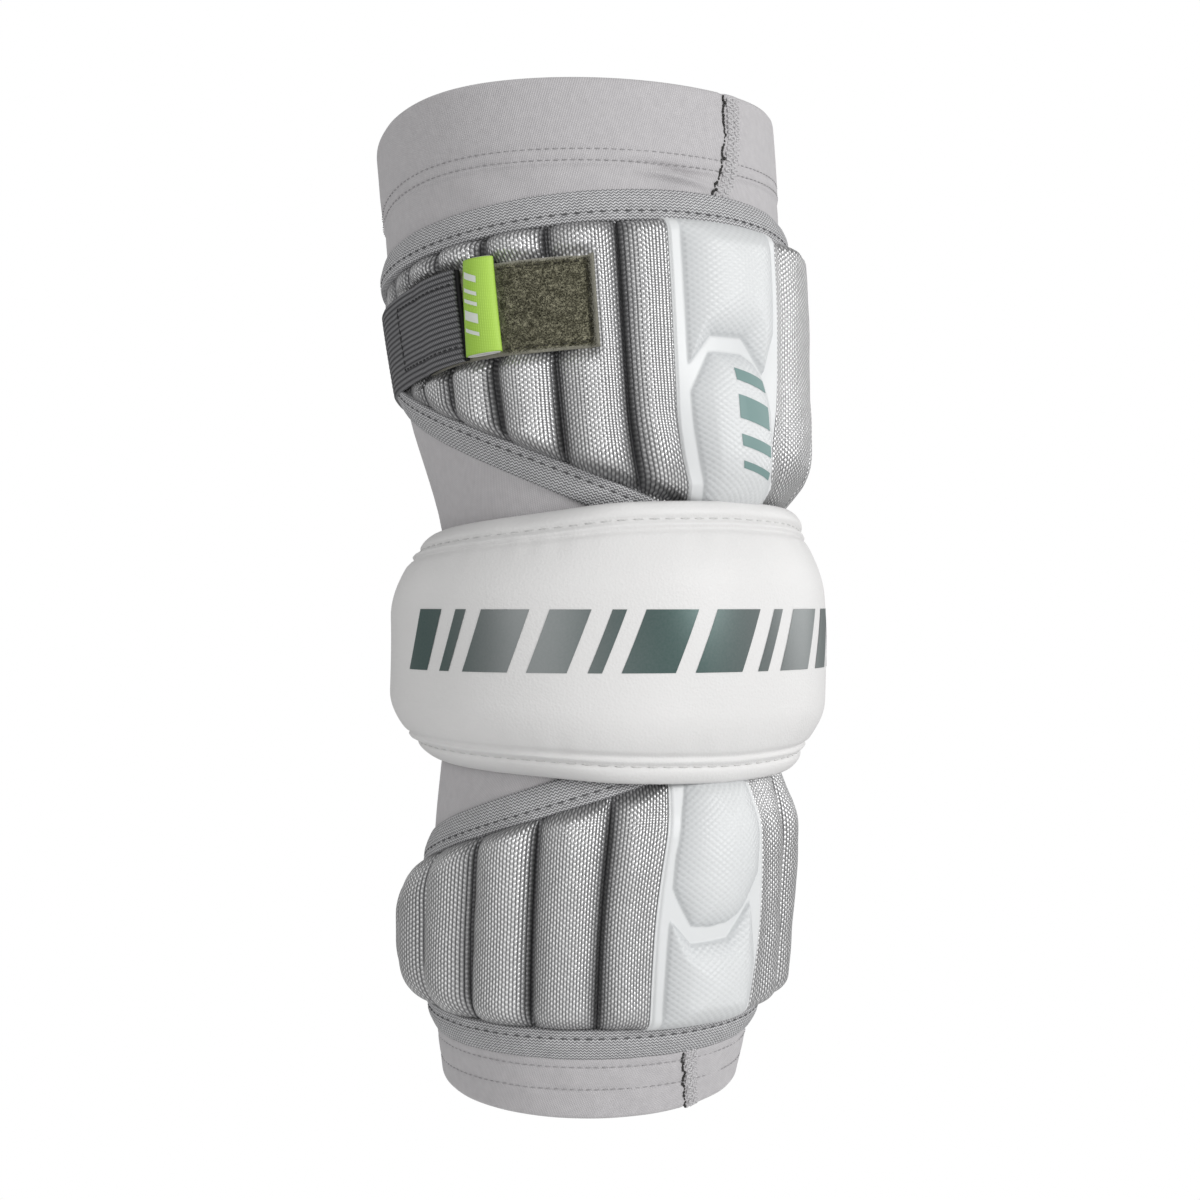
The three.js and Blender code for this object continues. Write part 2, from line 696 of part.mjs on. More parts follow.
// The tab is a ribbon folded over into a loop, open at both ends.
function pullTab() {
  const middle = (TAB.from + TAB.to) / 2;
  const outer = [];
  const inner = [];
  for (let i = 0; i < 12; i++) {
    const around = (i / 12) * 2 * Math.PI;
    const flat = Math.sign(Math.sin(around)) * Math.abs(Math.sin(around)) ** 0.8;
    const place = (shrink) => {
      const half = ((TAB.to - TAB.from) / 2) * (1 - shrink);
      const rise = (TAB.height / 2) * (1 - 2.2 * shrink);
      return [-1, 1].map((end) => {
        const turn = middle + half * Math.cos(around);
        const z = strapMiddle(middle) + TAB.raised + TAB.slant * (turn - middle) + end * TAB.half;
        const seat = patchSeat(middle, z) + PATCH + GAP + TAB.height / 2;
        return onArm(turn, z, seat + rise * flat);
      });
    };
    outer.push(place(0));
    inner.push(place(TAB.wall / 4));
  }
  return wall(outer, inner, true);
}

add("sleeve", sleeve(), MATERIALS.knit);
add("upper_arm_pad", ribbedPad(UPPER), MATERIALS.ribCloth);
add("upper_arm_tape", boundTape(UPPER), MATERIALS.tape);
add("upper_arm_panel", panel(UPPER, 82), MATERIALS.panel);
add("forearm_pad", ribbedPad(FOREARM), MATERIALS.ribCloth);
add("forearm_tape", boundTape(FOREARM), MATERIALS.tape);
add("forearm_panel", panel(FOREARM, -79.5), MATERIALS.panel);
add("elbow_cap", elbowCap(), MATERIALS.cap);
add("strap", strap(), MATERIALS.webbing);
add("loop_patch", strip(PATCH_TURNS, PATCH_HALF, patchSeat, PATCH), MATERIALS.loops);
add("pull_tab", pullTab(), MATERIALS.tab);

export default armPad;
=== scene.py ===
import math

import bpy
import numpy as np
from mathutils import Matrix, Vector


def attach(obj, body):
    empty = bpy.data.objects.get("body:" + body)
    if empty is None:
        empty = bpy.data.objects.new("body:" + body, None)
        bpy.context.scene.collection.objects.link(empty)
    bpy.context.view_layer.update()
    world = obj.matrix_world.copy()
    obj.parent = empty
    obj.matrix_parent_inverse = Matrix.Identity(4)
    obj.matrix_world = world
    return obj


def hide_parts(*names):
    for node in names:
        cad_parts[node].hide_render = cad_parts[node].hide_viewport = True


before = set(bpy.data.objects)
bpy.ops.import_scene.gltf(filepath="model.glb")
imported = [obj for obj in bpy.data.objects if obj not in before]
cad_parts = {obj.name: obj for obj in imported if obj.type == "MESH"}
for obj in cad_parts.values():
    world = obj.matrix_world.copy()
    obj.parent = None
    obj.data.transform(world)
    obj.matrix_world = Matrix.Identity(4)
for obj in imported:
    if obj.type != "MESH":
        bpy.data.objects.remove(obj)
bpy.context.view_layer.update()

MM = 0.001  # every size below is in millimetres, and every turn in degrees


# The stage: a pale floor well below the pad, which is held up as an arm holds it, soft lights
# from the right and the left, and a camera level with the elbow.
CAMERA_TURN = -36
CAMERA_DISTANCE = 560
CAMERA_SHIFT = -2.4
CAMERA_HEIGHT = 12
LENS = 56
SENSOR = 36
FLOOR_HEIGHT = -490
FLOOR_RADIUS = 950
FLOOR_GREY = (0.86, 0.86, 0.86)
WORLD_GLOW = 0.34
LIGHTS = [
    {"name": "key_right", "turn": 14, "distance": 1500, "height": 420, "size": 600, "power": 13.6},
    {"name": "fill_left", "turn": -70, "distance": 1500, "height": 300, "size": 1300, "power": 6},
    {"name": "rim_left", "turn": -150, "distance": 1300, "height": 500, "size": 700, "power": 1.6},
    {"name": "side_right", "turn": 78, "distance": 1400, "height": 300, "size": 900, "power": 4.1},
    {"name": "top", "turn": -10, "distance": 350, "height": 1500, "size": 900, "power": 3},
    {"name": "bounce", "turn": -20, "distance": 1000, "height": -430, "size": 900, "power": 1.6},
]


def around(turn, distance, height):
    angle = math.radians(turn)
    return Vector((math.sin(angle), -math.cos(angle), 0)) * distance * MM + Vector((0, 0, height * MM))


def aim(thing, target):
    direction = target - thing.location
    thing.rotation_euler = direction.to_track_quat("-Z", "Y").to_euler()


scene = bpy.context.scene
scene.view_settings.view_transform = "Standard"

world = bpy.data.worlds.new("studio")
scene.world = world
world.use_nodes = True
studio = world.node_tree
glow = studio.nodes["Background"]
backdrop = studio.nodes.new("ShaderNodeBackground")
for paper, strength in ((glow, WORLD_GLOW), (backdrop, 1.0)):
    paper.inputs["Strength"].default_value = strength
    paper.inputs["Color"].default_value = (1, 1, 1, 1)
seen = studio.nodes.new("ShaderNodeLightPath")
choose = studio.nodes.new("ShaderNodeMixShader")
studio.links.new(seen.outputs["Is Camera Ray"], choose.inputs[0])
studio.links.new(glow.outputs[0], choose.inputs[1])
studio.links.new(backdrop.outputs[0], choose.inputs[2])
studio.links.new(choose.outputs[0], studio.nodes["World Output"].inputs["Surface"])

for light in LIGHTS:
    lamp = bpy.data.lights.new(light["name"], "AREA")
    lamp.shape = "DISK"
    lamp.size = light["size"] * MM
    lamp.energy = light["power"]
    holder = bpy.data.objects.new(light["name"], lamp)
    scene.collection.objects.link(holder)
    holder.location = around(light["turn"], light["distance"], light["height"])
    aim(holder, Vector((0, 0, 0)))

camera_data = bpy.data.cameras.new("camera")
camera_data.lens = LENS
camera_data.sensor_width = SENSOR
camera = bpy.data.objects.new("camera", camera_data)
scene.collection.objects.link(camera)
camera.rotation_euler = (math.radians(90), 0, math.radians(CAMERA_TURN))
camera.location = around(CAMERA_TURN, CAMERA_DISTANCE, CAMERA_HEIGHT)
camera.location += around(CAMERA_TURN + 90, CAMERA_SHIFT, 0)
scene.camera = camera

bpy.ops.mesh.primitive_circle_add(
    vertices=96, radius=FLOOR_RADIUS * MM, fill_type="NGON", location=(0, 0, FLOOR_HEIGHT * MM)
)
floor = bpy.context.object
floor.name = "floor"
floor_paint = bpy.data.materials.new("floor_paint")
floor_paint.use_nodes = True
floor_shader = floor_paint.node_tree.nodes["Principled BSDF"]
floor_shader.inputs["Base Color"].default_value = (*FLOOR_GREY, 1)
floor_shader.inputs["Roughness"].default_value = 0.9
floor.data.materials.append(floor_paint)


# The sleeve is a tube of fine stretch knit, cut straight and pulled over the arm. Both ends are
# turned in and sewn down with two rows of stitches, and its one seam is overlocked.
UPPER_ARM_LEAN = 0.134
FOREARM_LEAN = 0.088
ELBOW_EASE = 25
SLEEVE_SHAPE = {
    "height": [-160, -132, -118, -100, -80, -55, -30, 0, 32, 42, 52, 66, 80, 100, 130, 165],
    "radius": [42.6, 43.7, 45.9, 48.3, 50, 50, 48.6, 48, 48.6, 50.2, 52.5, 55.8, 57.6, 59.2, 60, 60.5],
}
TOP_RIM = {
    "turn": [-170, -120, -96, -77, -57, 0, 48, 100, 150, 190],
    "height": [144.5, 147.6, 152.2, 154.8, 155.9, 156.2, 157, 155, 148, 144.5],
}
TOP_HEM = 24.5
TOP_STITCHES = [20.2, 23.4]
CUFF_RIM = -130.2
CUFF_TILT = 3.5
CUFF_LOWEST = -36
CUFF_STITCHES = [2.6, 9.2]
KNIT = 1.3
HEM_OUT = 0.55
SLEEVE_COLUMNS = 240
SLEEVE_CLOTH = 0.95  # millimetres of cloth for each degree
SEAM = {
    "height": [-134, -117, -60, 60, 126, 131, 144.5, 156],
    "turn": [3.5, -1.8, 0, 0, 2.6, 5.3, 8.5, 9.1],
}
STITCH_DIP = {"depth": 0.32, "width": 0.55}
RIM_ROUND = {"drop": 0.7, "reach": 0.5}
SLACK = {"heights": (126, -124), "reach": 9, "rise": 0.3}
CREASE = {"height": 128.2, "slope": 0.11, "turn": -9, "reach": 9, "rise": 2.6}
KNIT_LIGHT = (0.56, 0.545, 0.555)
KNIT_DARK = (0.36, 0.35, 0.36)
THREAD_GREY = (0.13, 0.13, 0.135)


def smooth_table(xs, ys, x):
    """Reads a table at x, smoothly, and level beyond its ends."""
    xs, ys = np.asarray(xs, float), np.asarray(ys, float)
    slope = np.gradient(ys)
    slope[1:-1] = (ys[2:] - ys[:-2]) / (xs[2:] - xs[:-2])
    slope[0] = (ys[1] - ys[0]) / (xs[1] - xs[0])
    slope[-1] = (ys[-1] - ys[-2]) / (xs[-1] - xs[-2])
    i = np.clip(np.searchsorted(xs, x, side="right") - 1, 0, len(xs) - 2)
    width = xs[i + 1] - xs[i]
    t = np.clip((x - xs[i]) / width, 0, 1)
    start = (1 + 2 * t) * (1 - t) ** 2 * ys[i] + t * (1 - t) ** 2 * width * slope[i]
    return start + t * t * (3 - 2 * t) * ys[i + 1] - t * t * (1 - t) * width * slope[i + 1]


def ease(low, high, x):
    t = np.clip((x - low) / (high - low), 0, 1)
    return t * t * (3 - 2 * t)


def mix(a, b, share):
    return a + (b - a) * share


def ridge(value, place, width):
    """A soft ridge, 1 at its place, that fades out over its width to both sides."""
    return np.exp(-(((value - place) / width) ** 2))


def sleeve_radius(height):
    return smooth_table(SLEEVE_SHAPE["height"], SLEEVE_SHAPE["radius"], height)


def arm_middle(height):
    lean = np.where(height > 0, UPPER_ARM_LEAN, FOREARM_LEAN)
    return lean * (np.hypot(height, ELBOW_EASE) - ELBOW_EASE)


def on_arm(turn, height, out):
    """Points at a turn round the arm, a height, and a distance out from the sleeve."""
    turn, height, out = np.broadcast_arrays(*(np.asarray(a, float) for a in (turn, height, out)))
    radius = sleeve_radius(height) + out
    angle = np.radians(turn)
    y = arm_middle(height) - radius * np.cos(angle)
    return np.stack([radius * np.sin(angle), y, height], axis=-1) * MM


def ripples(x, y, size, seed, count=7):
    """Soft unevenness from -1 to 1, whose bumps are about size across."""
    draw = np.random.default_rng(seed)
    total = 0
    for _ in range(count):
        way = draw.uniform(0, 2 * math.pi)
        pitch = size * draw.uniform(1.4, 3)
        phase = draw.uniform(0, 2 * math.pi)
        total = total + np.sin(2 * math.pi * (x * math.cos(way) + y * math.sin(way)) / pitch + phase)
    return total / count * 1.6


def steps(stops, counts):
    """Numbers that run through the stops, with so many steps between each two."""
    parts = [np.linspace(a, b, n, endpoint=False) for a, b, n in zip(stops, stops[1:], counts)]
    return np.concatenate(parts + [[stops[-1]]])


def cloth_grid(across, up):
    """The map of a grid of points, in millimetres across and up the cloth."""
    return np.stack(np.broadcast_arrays(across, up), axis=-1)


def grid_quads(columns, rows, ring=False):
    """The faces between the points of a grid, which may close into a ring."""
    spans = columns if ring else columns - 1
    i, j = np.meshgrid(np.arange(spans), np.arange(rows - 1), indexing="ij")
    i, j = i.ravel(), j.ravel()
    right = (i + 1) % columns
    return np.stack([i * rows + j, right * rows + j, right * rows + j + 1, i * rows + j + 1], axis=1)


def build(name, points, quads, corners_uv, finish):
    """A smooth mesh object from points, four-cornered faces and their map."""
    mesh = bpy.data.meshes.new(name)
    mesh.from_pydata(points.tolist(), [], quads.tolist())
    layer = mesh.uv_layers.new(name="cloth")
    layer.data.foreach_set("uv", corners_uv.reshape(-1).astype(np.float32))
    mesh.polygons.foreach_set("use_smooth", np.ones(len(quads), bool))
    mesh.materials.append(finish)
    mesh.update()
    piece = bpy.data.objects.new(name, mesh)
    scene.collection.objects.link(piece)
    return piece


def shell(name, face, back, uv, finish, ring=False):
    """A closed wall between two grids of points. Its map is in millimetres on the cloth."""
    columns, rows = face.shape[:2]
    points = np.concatenate([face.reshape(-1, 3), back.reshape(-1, 3)])
    behind = columns * rows
    front = grid_quads(columns, rows, ring)
    rear = front[:, ::-1] + behind
    k = np.arange(columns if ring else columns - 1)
    foot_left, foot_right = k * rows, (k + 1) % columns * rows
    foot = np.stack([foot_left, foot_left + behind, foot_right + behind, foot_right], axis=1)
    head = np.roll(foot[:, ::-1], 1, axis=1) + rows - 1
    quads = [front, rear, foot, head]
    if not ring:
        m = np.arange(rows - 1)
        quads.append(np.stack([m, m + 1, m + 1 + behind, m + behind], axis=1))
        m = m + (columns - 1) * rows
        quads.append(np.stack([m, m + behind, m + 1 + behind, m + 1], axis=1))
    quads = np.concatenate(quads)
    flat = np.concatenate([uv.reshape(-1, 2), uv.reshape(-1, 2)])
    corners = flat[quads]
    if ring:
        around_uv = uv[-1, 0, 0] + (uv[-1, 0, 0] - uv[-2, 0, 0])
        wrapped = (corners[:, :, 0].max(axis=1) - corners[:, :, 0].min(axis=1)) > around_uv / 2
        low = corners[:, :, 0] < around_uv / 2
        corners[:, :, 0] += np.where(wrapped[:, None] & low, around_uv, 0)
    a, b, c, d = (points[quads[:, n]] for n in range(4))
    volume = (a * np.cross(b, c)).sum() + (a * np.cross(c, d)).sum()
    if volume < 0:
        quads, corners = quads[:, ::-1], corners[:, ::-1]
    return build(name, points, quads, corners, finish)


def start_finish(name, roughness, specular):
    """An empty finish: its material, its node tree and its shader."""
    material = bpy.data.materials.new(name)
    material.use_nodes = True
    shader = material.node_tree.nodes["Principled BSDF"]
    shader.inputs["Roughness"].default_value = roughness
    shader.inputs["Specular IOR Level"].default_value = specular
    return material, material.node_tree, shader


def calc(tree, operation, *values):
    """A sum worked out in the shader from numbers or other results."""
    node = tree.nodes.new("ShaderNodeMath")
    node.operation = operation
    for slot, value in zip(node.inputs, values):
        if isinstance(value, (int, float)):
            slot.default_value = value
        else:
            tree.links.new(value, slot)
    return node.outputs[0]


def cloth_map(tree):
    """The two directions of the cloth, in millimetres."""
    source = tree.nodes.new("ShaderNodeUVMap")
    source.uv_map = "cloth"
    split = tree.nodes.new("ShaderNodeSeparateXYZ")
    tree.links.new(source.outputs["UV"], split.inputs[0])
    return split.outputs["X"], split.outputs["Y"]


def clouds(tree, size, detail=2.0):
    """Soft noise from 0 to 1 through the space of the piece, with features size mm across."""
    place = tree.nodes.new("ShaderNodeTexCoord")
    noise = tree.nodes.new("ShaderNodeTexNoise")
    noise.inputs["Scale"].default_value = 1 / (size * MM)
    noise.inputs["Detail"].default_value = detail
    tree.links.new(place.outputs["Object"], noise.inputs["Vector"])
    return noise.outputs[0]


def tint(tree, share, dark, light):
    """A colour between two, by a share from 0 to 1."""
    node = tree.nodes.new("ShaderNodeMix")
    node.data_type = "RGBA"
    tree.links.new(share, node.inputs["Factor"])
    for slot, colour in (("A", dark), ("B", light)):
        sockets = [s for s in node.inputs if s.name == slot and s.type == "RGBA"]
        if isinstance(colour, tuple):
            sockets[0].default_value = (*colour, 1)
        else:
            tree.links.new(colour, sockets[0])
    return [s for s in node.outputs if s.type == "RGBA"][0]


def relief(tree, shader, height, depth):
    """Bumps of that depth in millimetres."""
    bump = tree.nodes.new("ShaderNodeBump")
    bump.inputs["Distance"].default_value = depth * MM
    tree.links.new(height, bump.inputs["Height"])
    tree.links.new(bump.outputs[0], shader.inputs["Normal"])


def wave(tree, value, pitch, shift=0.0):
    """A wave from 0 to 1 along a value."""
    turned = calc(tree, "MULTIPLY_ADD", value, 2 * math.pi / pitch, shift)
    return calc(tree, "MULTIPLY_ADD", calc(tree, "SINE", turned), 0.5, 0.5)


def knit_finish():
    """Fine jersey: upright wales with a slight lean, crossed by much finer courses."""
    material, tree, shader = start_finish("sleeve_knit", roughness=0.82, specular=0.25)
    u, v = cloth_map(tree)
    leaning = calc(tree, "MULTIPLY_ADD", v, -0.316, u)
    wales = wave(tree, leaning, 0.6)
    courses = wave(tree, calc(tree, "MULTIPLY_ADD", u, 0.5, v), 0.62)
    loops = calc(tree, "MULTIPLY", wales, calc(tree, "MULTIPLY_ADD", courses, 0.5, 0.5))
    patchy = clouds(tree, 2.2, 3.0)
    height = calc(tree, "ADD", calc(tree, "MULTIPLY", loops, 0.7), calc(tree, "MULTIPLY", patchy, 0.5))
    tree.links.new(tint(tree, height, KNIT_DARK, KNIT_LIGHT), shader.inputs["Base Color"])
    shader.inputs["Sheen Weight"].default_value = 0.25
    shader.inputs["Sheen Roughness"].default_value = 0.5
    relief(tree, shader, height, depth=0.11)
    return material


def top_rim(turn):
    start = TOP_RIM["turn"][0]
    return smooth_table(TOP_RIM["turn"], TOP_RIM["height"], (np.asarray(turn, float) - start) % 360 + start)


def cuff_rim(turn):
    return CUFF_RIM - CUFF_TILT * np.cos(np.radians(turn - CUFF_LOWEST))


def cuff_hem(turn):
    return edge_low("forearm", turn) - TAPE_REACH - 0.6


def seam_turn(height):
    return smooth_table(SEAM["height"], SEAM["turn"], height)


def sleeve_out(turn, height):
    """How far the knit stands off the arm: folded hems, rows of stitches and slack creases."""
    rim, cuff, hem = top_rim(turn), cuff_rim(turn), cuff_hem(turn)
    out = HEM_OUT * ease(rim - TOP_HEM - 0.5, rim - TOP_HEM + 0.3, height)
    out = out + HEM_OUT * ease(-(hem + 0.5), -(hem - 0.3), -height)
    for edge, insets in ((rim, TOP_STITCHES), (hem, CUFF_STITCHES)):
        for inset in insets:
            out = out - STITCH_DIP["depth"] * ridge(height, edge - inset, STITCH_DIP["width"])
    round_rim = np.minimum(rim - height, height - cuff)
    out = out - RIM_ROUND["drop"] * np.exp(-round_rim / RIM_ROUND["reach"])
    along = turn * 1.02
    slack = sum(ridge(height, place, SLACK["reach"]) for place in SLACK["heights"])
    out = out + SLACK["rise"] * slack * ripples(along * 0.8 + height * 0.5, height, size=9, seed=11)
    fold = height - CREASE["height"] + CREASE["slope"] * turn
    crease = ridge(fold, 0, 1.1) - 0.7 * ridge(fold, 2, 1.3)
    out = out + CREASE["rise"] * crease * ridge(turn, CREASE["turn"], CREASE["reach"])
    beside = turn - seam_turn(height)
    seam = ease(0.2, 1.2, beside) * (1 - ease(5.4, 6.4, beside)) * np.where(np.abs(height) > 110, 1, 0.4)
    out = out + 0.35 * seam - 0.5 * ridge(beside, 0, 0.5)
    return out + 0.12 * ripples(along, height, size=26, seed=12)


KNIT_FINISH = knit_finish()
PAD_EDGE = 1.4
TAPE_REACH = 4.2
BACK_END = 140
CORNER = 9
EDGE_BEND = 6
ELBOW_EDGES = {
    "upper_arm": {"level": 29, "left": 5, "left_rise": 0.385, "right": 60, "right_rise": 0.5},
    "forearm": {"level": 29.4, "left": 4, "left_rise": 0.292, "right": 60, "right_rise": 0.4},
}


def elbow_edge(pad, turn):
    edge = ELBOW_EDGES[pad]
    left = -turn - edge["left"]
    right = turn - edge["right"]
    rise = edge["left_rise"] * (left + np.hypot(left, EDGE_BEND))
    rise = rise + edge["right_rise"] * (right + np.hypot(right, EDGE_BEND))
    return edge["level"] + rise / 2


def far_edge(pad, turn):
    if pad == "upper_arm":
        return 111.9 + 8.7 * np.cos(np.radians(turn))
    return -110.2 - 0.9 * np.cos(np.radians(turn + 50))


def corner_cut(turn):
    into = np.clip(np.abs(turn) - (BACK_END - CORNER), 0, CORNER)
    return CORNER * (1 - np.sqrt(1 - (into / CORNER) ** 2))


def edge_low(pad, turn):
    low = elbow_edge(pad, turn) if pad == "upper_arm" else far_edge(pad, turn)
    return low + corner_cut(turn)


def edge_high(pad, turn):
    high = far_edge(pad, turn) if pad == "upper_arm" else -elbow_edge(pad, turn)
    return high - corner_cut(turn)


turns = np.arange(SLEEVE_COLUMNS)[:, None] * 360 / SLEEVE_COLUMNS - 180
rim, cuff, hem = top_rim(turns), cuff_rim(turns), cuff_hem(turns)
share = steps(range(8), [4, 20, 5, 46, 20, 6, 28])
top_hem = rim - TOP_HEM
stops = [cuff, cuff + 1.6, hem - 1, hem + 1.5, top_hem - 12, top_hem - 1.5, top_hem + 1.5, rim]
heights = np.zeros((SLEEVE_COLUMNS, len(share)))
for n, (low, high) in enumerate(zip(stops, stops[1:])):
    part = (share >= n) & ((share < n + 1) | (n == len(stops) - 2))
    heights[:, part] = mix(low, high, share[part] - n)
face = on_arm(turns, heights, sleeve_out(turns, heights))
back = on_arm(turns, heights, np.minimum(sleeve_out(turns, heights) - KNIT, -KNIT + 0.2))
cloth = cloth_grid((turns + 180) * SLEEVE_CLOTH, heights)
sleeve = shell("sleeve_knit", face, back, cloth, KNIT_FINISH, ring=True)
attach(sleeve, "root")
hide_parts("sleeve")


# The hems are sewn with a grey lock stitch all round, in two rows at each end. Each stitch is a
# short bead of thread that dips into the knit.
def start_tree(name, sizes, material, kinds):
    """A Geometry Nodes tree with named inputs for its sizes and its material, and its nodes."""
    tree = bpy.data.node_groups.new(name, "GeometryNodeTree")
    inputs = [("Geometry", "Geometry"), *((size, "Float") for size in sizes), (material, "Material")]
    for label, kind in inputs:
        tree.interface.new_socket(label, in_out="INPUT", socket_type="NodeSocket" + kind)
    tree.interface.new_socket("Geometry", in_out="OUTPUT", socket_type="NodeSocketGeometry")
    return tree, {key: tree.nodes.new(kind) for key, kind in kinds.items()}


def set_inputs(node, values):
    for slot, value in values.items():
        node.inputs[slot].default_value = value


def wire(tree, nodes, links):
    """Links the nodes: each link names an output and then the input that it goes to."""
    for source, output, target, slot in links:
        tree.links.new(nodes[source].outputs[output], nodes[target].inputs[slot])


def stitch_tree():
    """Geometry Nodes that lay a bead of thread at every pitch along the edges of a mesh."""
    tree, nodes = start_tree("stitch_run", ("Pitch", "Stitch length", "Thickness"), "Thread", {
        "start": "NodeGroupInput",
        "curve": "GeometryNodeMeshToCurve",
        "even": "GeometryNodeResampleCurve",
        "tangent": "GeometryNodeInputTangent",
        "turn": "FunctionNodeAlignRotationToVector",
        "bead": "GeometryNodeMeshUVSphere",
        "size": "ShaderNodeCombineXYZ",
        "vary": "FunctionNodeRandomValue",
        "place": "GeometryNodeInstanceOnPoints",
        "real": "GeometryNodeRealizeInstances",
        "smooth": "GeometryNodeSetShadeSmooth",
        "paint": "GeometryNodeSetMaterial",
        "end": "NodeGroupOutput",
        "wide": "ShaderNodeMath",
    })
    nodes["even"].mode = "LENGTH"
    nodes["turn"].axis = "X"
    nodes["wide"].operation = "MULTIPLY"
    set_inputs(nodes["bead"], {"Segments": 6, "Rings": 5, "Radius": 0.5})
    set_inputs(nodes["vary"], {2: 0.85, 3: 1.15, "Seed": 4})
    wire(tree, nodes, [
        ("start", "Geometry", "curve", "Mesh"),
        ("curve", "Curve", "even", "Curve"),
        ("start", "Pitch", "even", "Length"),
        ("tangent", 0, "turn", "Vector"),
        ("start", "Stitch length", "size", "X"),
        ("start", "Thickness", "wide", 0),
        ("vary", 1, "wide", 1),
        ("wide", 0, "size", "Y"),
        ("wide", 0, "size", "Z"),
        ("even", "Curve", "place", "Points"),
        ("bead", "Mesh", "place", "Instance"),
        ("turn", "Rotation", "place", "Rotation"),
        ("size", 0, "place", "Scale"),
        ("place", 0, "real", 0),
        ("real", 0, "smooth", 0),
        ("smooth", 0, "paint", "Geometry"),
        ("start", "Thread", "paint", "Material"),
        ("paint", 0, "end", 0),
    ])
    return tree


def settle(piece, tree, values):
    """Runs a Geometry Nodes tree on a piece and keeps the plain mesh that comes out."""
    modifier = piece.modifiers.new("make", "NODES")
    modifier.node_group = tree
    for item in tree.interface.items_tree:
        if item.item_type == "SOCKET" and item.in_out == "INPUT" and item.name in values:
            modifier[item.identifier] = values[item.name]
    made = bpy.data.meshes.new_from_object(piece.evaluated_get(bpy.context.evaluated_depsgraph_get()))
    piece.modifiers.clear()
    rough = piece.data
    piece.data = made
    bpy.data.meshes.remove(rough)
    made.name = piece.name


def sew(name, lines, thread, pitch, length, thickness):
    """Rows of stitches along lines of points, sewn into the cloth."""
    points, edges = [], []
    for line in lines:
        first = len(points)
        points.extend(np.asarray(line).tolist())
        edges.extend((n, n + 1) for n in range(first, len(points) - 1))
    mesh = bpy.data.meshes.new(name)
    mesh.from_pydata(points, edges, [])
    piece = bpy.data.objects.new(name, mesh)
    scene.collection.objects.link(piece)
    sizes = {"Pitch": pitch * MM, "Stitch length": length * MM, "Thickness": thickness * MM}
    settle(piece, STITCHES, {**sizes, "Thread": thread})
    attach(piece, "root")


def thread_finish(name, colour):
    """Twisted polyester thread."""
    material, tree, shader = start_finish(name, roughness=0.6, specular=0.4)
    darker = tuple(c * 0.6 for c in colour)
    tree.links.new(tint(tree, clouds(tree, 0.7), darker, colour), shader.inputs["Base Color"])
    return material


STITCHES = stitch_tree()
GREY_THREAD = thread_finish("grey_thread", THREAD_GREY)
HEM_THREAD = thread_finish("hem_thread", (0.40, 0.39, 0.40))
ring_turns = np.linspace(-180, 180, 361)
hem_lines = []
for edge, insets in ((top_rim(ring_turns), TOP_STITCHES), (cuff_hem(ring_turns), CUFF_STITCHES)):
    hem_lines += [on_arm(ring_turns, edge - inset, HEM_OUT - 0.12) for inset in insets]
sew("hem_stitches", hem_lines, HEM_THREAD, pitch=2.3, length=1.6, thickness=0.3)


# The sleeve's seam is overlocked: a band of looped knit thread beside an uneven gap, whose dark is painted
# shadow, a ragged line of near-black beads. It shows at both ends, where it is on the outside of the folded
# hems.
SEAM_ENDS = [(-133, -115), (121, 155.8)]
OVERLOCK = {"from": 1.1, "to": 6.2, "pitch": 1.6}


def overlock_lines(jagged):
    """Threads that zigzag up the seam, or the ragged line of beads, painted shadow, where the two edges
    meet.
    """
    lines = []
    draw = np.random.default_rng(17)
    for low, high in SEAM_ENDS:
        height = np.arange(low, high, OVERLOCK["pitch"] / 2)
        start = seam_turn(height)
        if jagged:
            turn = start + draw.uniform(-0.7, 0.7, len(height))
            lines.append(on_arm(turn, height, sleeve_out(turn, height) + 0.25))
            continue
        middle = (OVERLOCK["from"] + OVERLOCK["to"]) / 2
        for left, right in ((OVERLOCK["from"], middle), (middle, OVERLOCK["to"])):
            side = np.where(np.arange(len(height)) % 2 == 0, left, right)
            turn = start + side + draw.uniform(-0.25, 0.25, len(height))
            lines.append(on_arm(turn, height, sleeve_out(turn, height) + 0.12))
    return lines


KNIT_THREAD = thread_finish("knit_thread", (0.62, 0.61, 0.62))
# Near-black beads that paint the shadow in the seam's gap.
GAP_SHADOW_BEADS = thread_finish("gap_shadow", (0.035, 0.033, 0.032))
sew("overlock", overlock_lines(False), KNIT_THREAD, pitch=0.9, length=1.3, thickness=0.7)
sew("seam_gap_shadow", overlock_lines(True), GAP_SHADOW_BEADS, pitch=1.1, length=1.15, thickness=0.8)


